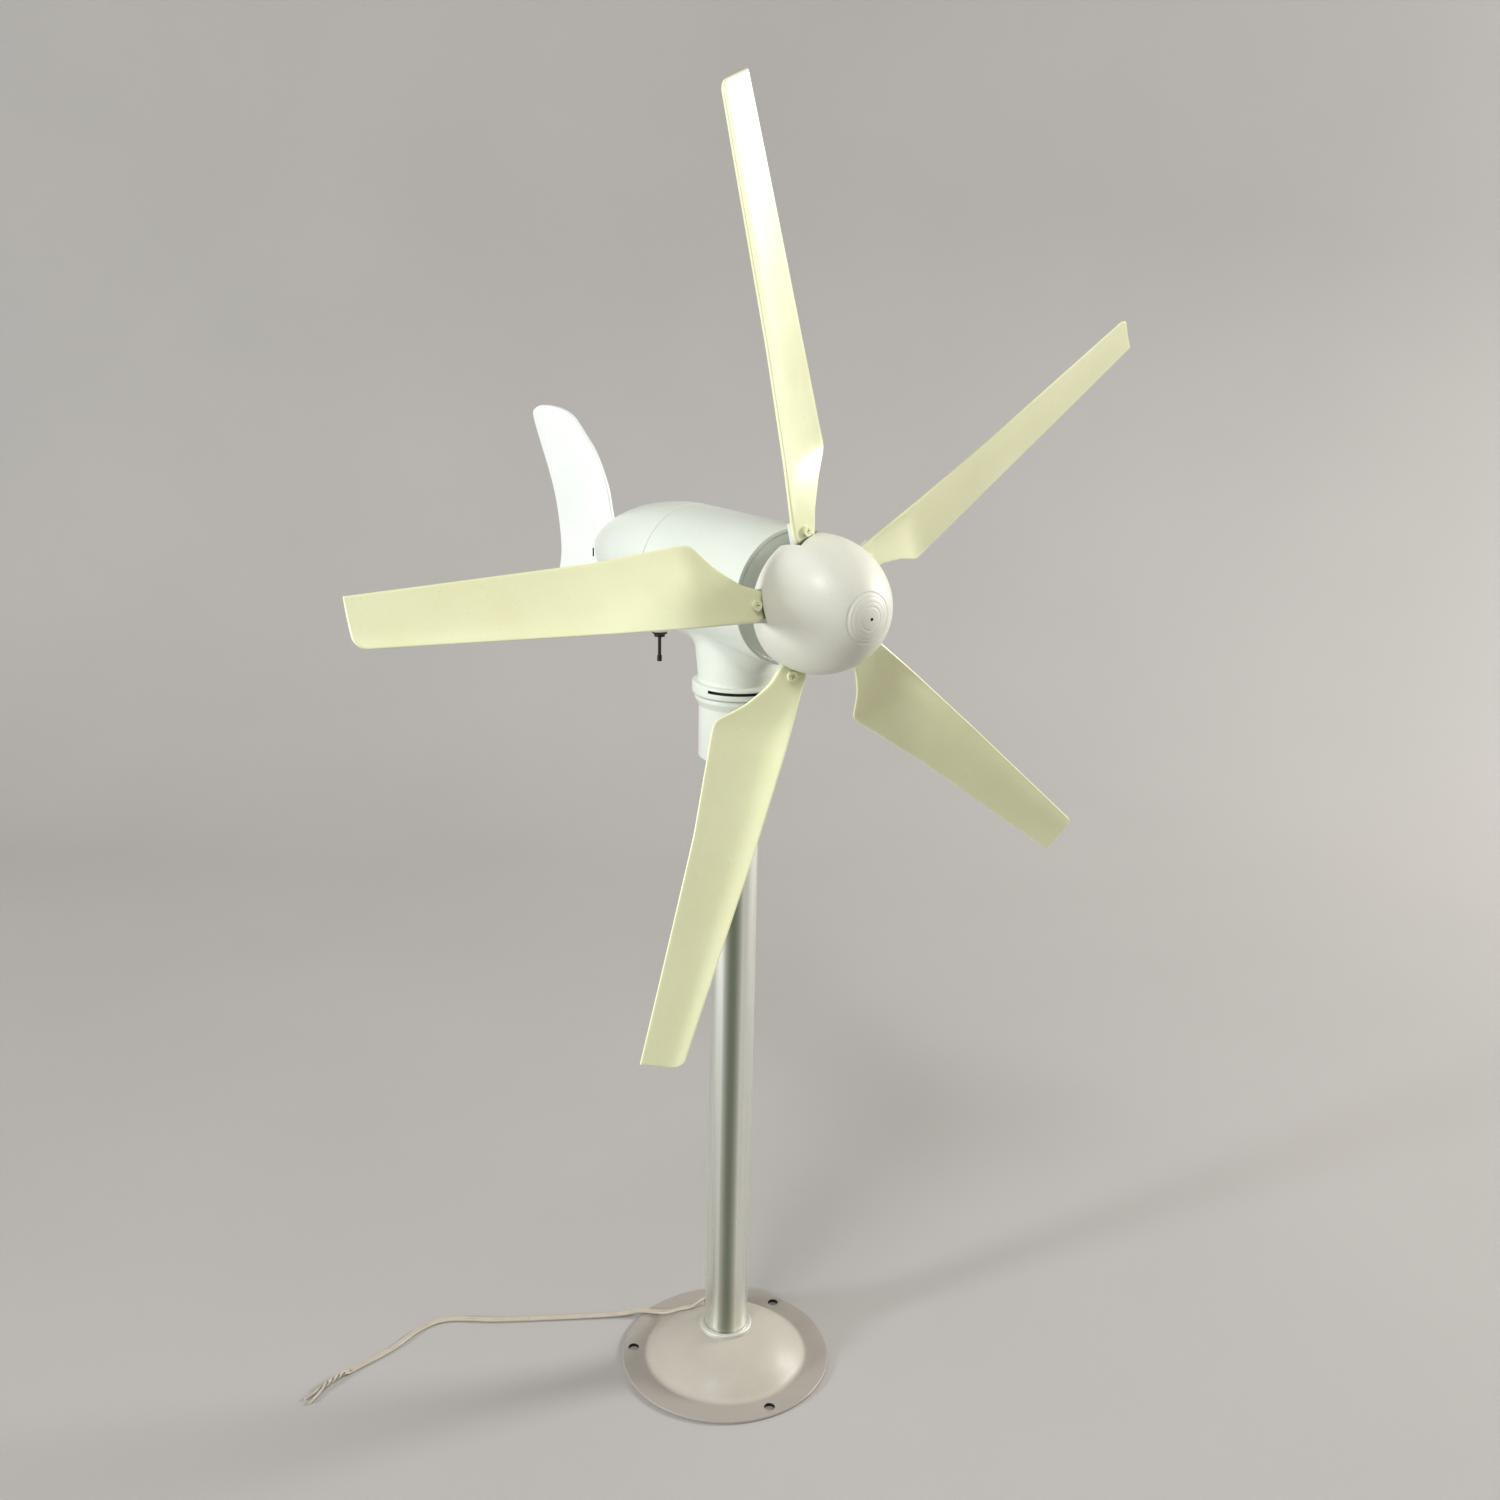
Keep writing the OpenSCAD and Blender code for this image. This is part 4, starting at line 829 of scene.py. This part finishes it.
def blade_sheet(number):
    turn = math.radians(-PHASE - 72 * number)
    root_rows = [14, 18, 22, 26, 29, 30, 31, 32, 33, 34, 35, 36, 37, 38, 39, 40, 41, 42]
    kink_rows = [42 + 1.0 * k for k in range(1, 38)]
    span_rows = [80 + (TIP_R - 1.2 - 80) * (k / 40) ** 0.92 for k in range(41)]
    tip_rows = [TIP_R - d for d in (0.95, 0.7, 0.5, 0.33, 0.2, 0.1, 0.03, 0.0)]
    stations = [float(r) for r in root_rows + kink_rows + span_rows + tip_rows]
    edge = [0.0, 0.06, 0.2, 0.42, 0.7, 1.0]
    rows = []
    for radius in stations:
        lead, trail = eased(radius, LEAD, 1.5), eased(radius, TRAIL, 1.6)
        pitch = math.radians(eased(radius, PITCH, 7))
        middle, camber = eased(radius, MIDDLE, 7), eased(radius, CAMBER, 7)
        chord = (trail - lead) / math.cos(pitch)
        thick = 2.4 + (1.9 - 2.4) * min(1, max(0, (radius - 42) / 60))
        cap = max(0.0, min(1.0, (TIP_R - radius) / 0.95))
        full = thick / 2 * math.sqrt(max(0.0, 1 - (1 - cap) ** 2))
        rim = thick / 2 / chord
        us = [e * rim for e in edge] + [rim + (1 - 2 * rim) * k / 15 for k in range(1, 15)] + \
             [1 - e * rim for e in reversed(edge)]
        front, back = [], []
        for u in us:
            near = min(u, 1 - u) / rim
            half = full * math.sqrt(max(0.0, 1 - (1 - min(1, near)) ** 2))
            thinner = 1 - 0.35 * max(0.0, (u - 0.7) / 0.3) * min(1, max(0, (radius - 42) / 14))
            bow = camber * chord * (1 - ((0.3 - u) / 0.3) ** 2 if u < 0.3 else 1 - ((u - 0.3) / 0.7) ** 2)
            soft = min(TIP_ROUND, u * chord)
            tip = (TIP_R - TIP_RAKE * (1 - u) - TIP_ROUND
                   + math.sqrt(TIP_ROUND ** 2 - (TIP_ROUND - soft) ** 2))
            span = max(0.0, (radius - 100) / (TIP_R - 100))
            y = radius - span * (TIP_R - tip)
            t = lead + (trail - lead) * u
            for side, store in ((1, front), (-1, back)):
                off = side * half * thinner - bow
                x = t + off * math.sin(pitch)
                f = ROTOR_F + middle - t * math.tan(pitch) + off * math.cos(pitch)
                store.append((x * math.cos(turn) - y * math.sin(turn), -f,
                              AXIS_Z + x * math.sin(turn) + y * math.cos(turn)))
        rows.append(front + back[::-1])
    verts, faces = [], []
    strips(verts, faces, rows)
    n = len(rows[0])
    half_n = n // 2
    faces += [[k, k + 1, n - 2 - k, n - 1 - k] for k in range(half_n - 1)]
    return mesh(f"blade_{number + 1}_moulded", verts, faces, BLADE, 60)


for number in range(5):
    piece(blade_sheet(number), "rotor", [f"blade_{number + 1}"])

# ---------------------------------------------------------------- spinner

spin_low, spin_high = box("spinner")
SPIN_R = 34.0
SPIN_F = 64.0
RIM_F = -spin_high.y
SPIN_LEN = -spin_low.y - SPIN_F
NOSE_R = 27.0
TANG_F = ROTOR_F - 4.2
ROOT_PITCH = math.radians(13)


def at_blade(number):
    turn = math.radians(-PHASE - 72 * number)

    def put(x, y, z):
        u = x * math.cos(ROOT_PITCH) + z * math.sin(ROOT_PITCH)
        f = -x * math.sin(ROOT_PITCH) + z * math.cos(ROOT_PITCH)
        return (u * math.cos(turn) - y * math.sin(turn), -(TANG_F + f),
                AXIS_Z + u * math.sin(turn) + y * math.cos(turn))
    return put


def spinner():
    nose_c = SPIN_LEN - NOSE_R
    side_c = (nose_c ** 2 - (SPIN_R - NOSE_R) ** 2) / (2 * (SPIN_R - NOSE_R))
    side_r = SPIN_R + side_c
    reach = math.hypot(side_c, nose_c)
    meet = nose_c + NOSE_R * nose_c / reach
    rim = RIM_F - SPIN_F

    def shell(thin, steps):
        low = rim + (0.5 if thin == 0 else 0.3)
        side = [(math.sqrt((side_r - thin) ** 2 - s * s) - side_c, SPIN_F + s)
                for s in [low + (meet - low) * k / steps for k in range(steps + 1)]]
        start = math.degrees(math.atan2(nose_c, side_c))
        nose = arc(0, SPIN_F + nose_c, NOSE_R - thin, start, 90, steps)[1:]
        return side + nose

    def ringed(r, f):
        """Two shallow moulded rings and a fine step on the nose."""
        if f < SPIN_F + nose_c + 5:
            return r, f
        for center, width, depth in ((12.0, 0.55, 0.30), (10.2, 0.45, 0.13), (7.9, 0.4, 0.06), (5.6, 0.4, 0.12)):
            f -= depth * math.exp(-((r - center) / width) ** 2)
        if r < 11.2:
            f += 0.12 * min(1, (11.2 - r) / 0.5)
        return r, f

    fine_nose = arc(0, SPIN_F + nose_c, NOSE_R, 56, 90, 110)
    outer = [p for p in shell(0, 40) if p[0] > fine_nose[0][0] + 0.4]
    outer += [ringed(r, f) for r, f in fine_nose]
    outer[-1] = (0.0, outer[-1][1])
    inner = [(0.0, SPIN_F + SPIN_LEN - 3.2)] + [p for p in reversed(shell(2, 24)) if 11.05 < p[0]]
    socket = [(8.5, SPIN_F + SPIN_LEN - 3.2), (8.5, ROTOR_F), (11.0, ROTOR_F)]
    edge = [(inner[-1][0] + 0.3, rim + SPIN_F), (outer[0][0] - 0.5, rim + SPIN_F),
            (outer[0][0] - 0.14, rim + SPIN_F + 0.15)]
    outline = outer + [(0.0, SPIN_F + SPIN_LEN - 3.2)] + socket + inner[1:] + edge
    cup = lathe("spinner_moulded", outline, forward, SPINNER, 192, 40)
    for number in range(5):
        cut = cuboid("notch", (-8.3, 24, -20), (7.8, 44, 1.5), at_blade(number), SPINNER, 2.7)
        boolean(cup, cut, "DIFFERENCE", 40)
    # The pip hole in the nose takes the near-black slit_shadow look: painted shade in the hole
    pip = lathe("pip", [(0, 0), (0.8, 0), (0.8, 3), (0, 3)],
                lambda r, a, h: forward(r, a, SPIN_F + SPIN_LEN - 0.7 + h), SLIT, 32)
    return boolean(cup, pip, "DIFFERENCE", 40)


piece(spinner(), "rotor", ["spinner"])

# ---------------------------------------------------------------- twin lead and its bare end

FLOOR_LIE = 1.0
RIM_LIE = SHEET + 1.1


def dome_z(r):
    center = (COLLAR_R ** 2 + DOME_TOP ** 2 - DOME_R ** 2 - SHEET ** 2) / (2 * (DOME_TOP - SHEET))
    return center + math.sqrt(math.hypot(DOME_R, SHEET - center) ** 2 - r * r)


def on_dome(r, degrees, lift):
    a = math.radians(degrees)
    return (r * math.cos(a), r * math.sin(a), dome_z(r) + lift)


def out_of_pole(r, z):
    return (r * math.cos(EXIT_A), r * math.sin(EXIT_A), z)


LEAD_POINTS = [
    (0, -1.5, 318), (0, -2, 250), (0, -3, 120), (0, -4, 60), (0, -3, 40), out_of_pole(5, 31.6),
    out_of_pole(12.6, 31),
    out_of_pole(20, 27.2), on_dome(29, 99, 1.8), on_dome(38, 101, 1.8), (-11, 46.5, RIM_LIE + 2.2),
    (-16, 53.5, RIM_LIE + 0.2), (-23, 59.5, RIM_LIE), (-36, 67, FLOOR_LIE + 0.4), (-65, 84, FLOOR_LIE),
    (-97, 103.5, FLOOR_LIE), (-122, 121, FLOOR_LIE), (-141, 122.5, FLOOR_LIE), (-163.5, 115, FLOOR_LIE),
    (-190, 110.5, FLOOR_LIE)]


def twin_lead():
    path = spline([Vector(p) for p in LEAD_POINTS], 10)
    r, half = 0.9, 1.75
    section = [(half - r + r * math.cos(math.radians(a)), r * math.sin(math.radians(a)))
               for a in range(-140, 141, 20)]
    section += [(r - half - r * math.cos(math.radians(a)), r * math.sin(math.radians(a)))
                for a in range(140, -141, -20)]

    def side_at(i, ahead):
        return Vector((1, 0, 0)) if abs(ahead.z) > 0.9 else ahead.cross(Vector((0, 0, 1)))

    verts, faces = sweep(section, path, side_at)
    return mesh("power_lead", verts, faces, SHEATH, 50), path


lead, lead_path = twin_lead()
piece(lead, "tower", ["power_cable"])


def bare_ends():
    tail = lead_path[-1]
    ahead = (lead_path[-1] - lead_path[-2]).normalized()
    side = ahead.cross(Vector((0, 0, 1)))
    up = Vector((0, 0, 1))
    verts, faces = [], []
    for s in (-1, 1):
        points = [tail + ahead * 0.02 + side * s * 0.95, tail + ahead * 1.5 + side * s * 0.95]
        for k in range(21):
            a = math.radians(36 * k)
            spread = 1.05 if k < 2 or k > 18 else 0.87
            points.append(tail + ahead * (4 + 0.8 * k) + (side * math.cos(a) + up * math.sin(a)) * s * spread
                          + Vector((0, -0.005 * k * k, 0.95)))
        points += [tail + ahead * 23 + side * s * 1.3 + Vector((0, -3, 0.2)),
                   tail + ahead * 31 + side * s * 2.4 + Vector((0, -5.5, 0))]
        path = spline(points, 4)

        def side_at(i, d):
            return up if abs(d.z) < 0.7 else side
        v, f = sweep(circle(0.75, 14), path, side_at)
        base = len(verts)
        verts += v
        faces += [[base + i for i in face] for face in f]
    return mesh("lead_cores", verts, faces, SHEATH, 50)


piece(bare_ends(), "tower", ["cable_wire_ends"])

# ---------------------------------------------------------------- stage, light and camera


def stage():
    s = Shader("studio")
    tone = s.mix(s.remap(s.noise(3, 3), 0.3, 0.7, 0, 1), (0.40, 0.385, 0.375), (0.42, 0.40, 0.39))
    s.set(Base_Color=tone, Roughness=0.85)
    width, depth, back, radius = 7000, -3500, 1500, 700
    path = [(depth, 0.0), (back - radius, 0.0)]
    path += [(back - radius + radius * math.sin(t), radius - radius * math.cos(t))
             for t in [math.pi / 2 * k / 24 for k in range(1, 25)]] + [(back, 5000.0)]
    turn = math.radians(36.5)
    verts = []
    for across in (-width, width):
        for along, z in path:
            verts.append((across * math.cos(turn) + along * math.sin(turn),
                          -across * math.sin(turn) + along * math.cos(turn), z))
    n = len(path)
    made = mesh("backdrop", verts, [[k, k + 1, n + k + 1, n + k] for k in range(n - 1)], s.material, 60)


def area_light(name, place, target, size, power, color=(1, 1, 1)):
    light = bpy.data.lights.new(name, "AREA")
    light.shape = "DISK"
    light.size = size
    light.energy = power
    light.color = color
    made = bpy.data.objects.new(name, light)
    made.location = place
    made.rotation_euler = (Vector(target) - Vector(place)).to_track_quat("-Z", "Y").to_euler()
    bpy.context.scene.collection.objects.link(made)


def camera():
    """The photograph's viewing angle: heading, downward pitch and roll in degrees."""
    heading, down, roll = (math.radians(v) for v in (36.5, 17.1, -1.23))
    ahead = Vector((math.sin(heading) * math.cos(down), math.cos(heading) * math.cos(down), -math.sin(down)))
    right = Vector((math.cos(heading), -math.sin(heading), 0))
    below = ahead.cross(right)
    right, below = (right * math.cos(roll) + below * math.sin(roll),
                    -right * math.sin(roll) + below * math.cos(roll))
    data = bpy.data.cameras.new("camera")
    data.sensor_width = 36
    data.lens = 36 * 1593 / 1500
    made = bpy.data.objects.new("camera", data)
    made.matrix_world = Matrix.Translation(Vector((-0.4742, -0.6528, 0.6269))) @ \
        Matrix((right, -below, -ahead)).transposed().to_4x4()
    bpy.context.scene.collection.objects.link(made)
    bpy.context.scene.camera = made


stage()
area_light("right window", (3.0, -0.95, 1.45), (0, 0, 0.42), 0.9, 105, (1.0, 0.99, 0.95))
area_light("left window", (-3.0, 0.36, 0.78), (0, 0, 0.42), 0.4, 66, (0.95, 0.99, 1.0))
area_light("upper left", (-1.2, -0.8, 2.3), (0, 0, 0.4), 0.6, 22)
world = bpy.data.worlds.new("world")
world.use_nodes = True
world.node_tree.nodes["Background"].inputs["Color"].default_value = (1.0, 0.98, 0.90, 1)
world.node_tree.nodes["Background"].inputs["Strength"].default_value = 0.40
bpy.context.scene.world = world
bpy.context.scene.view_settings.view_transform = "Standard"
camera()
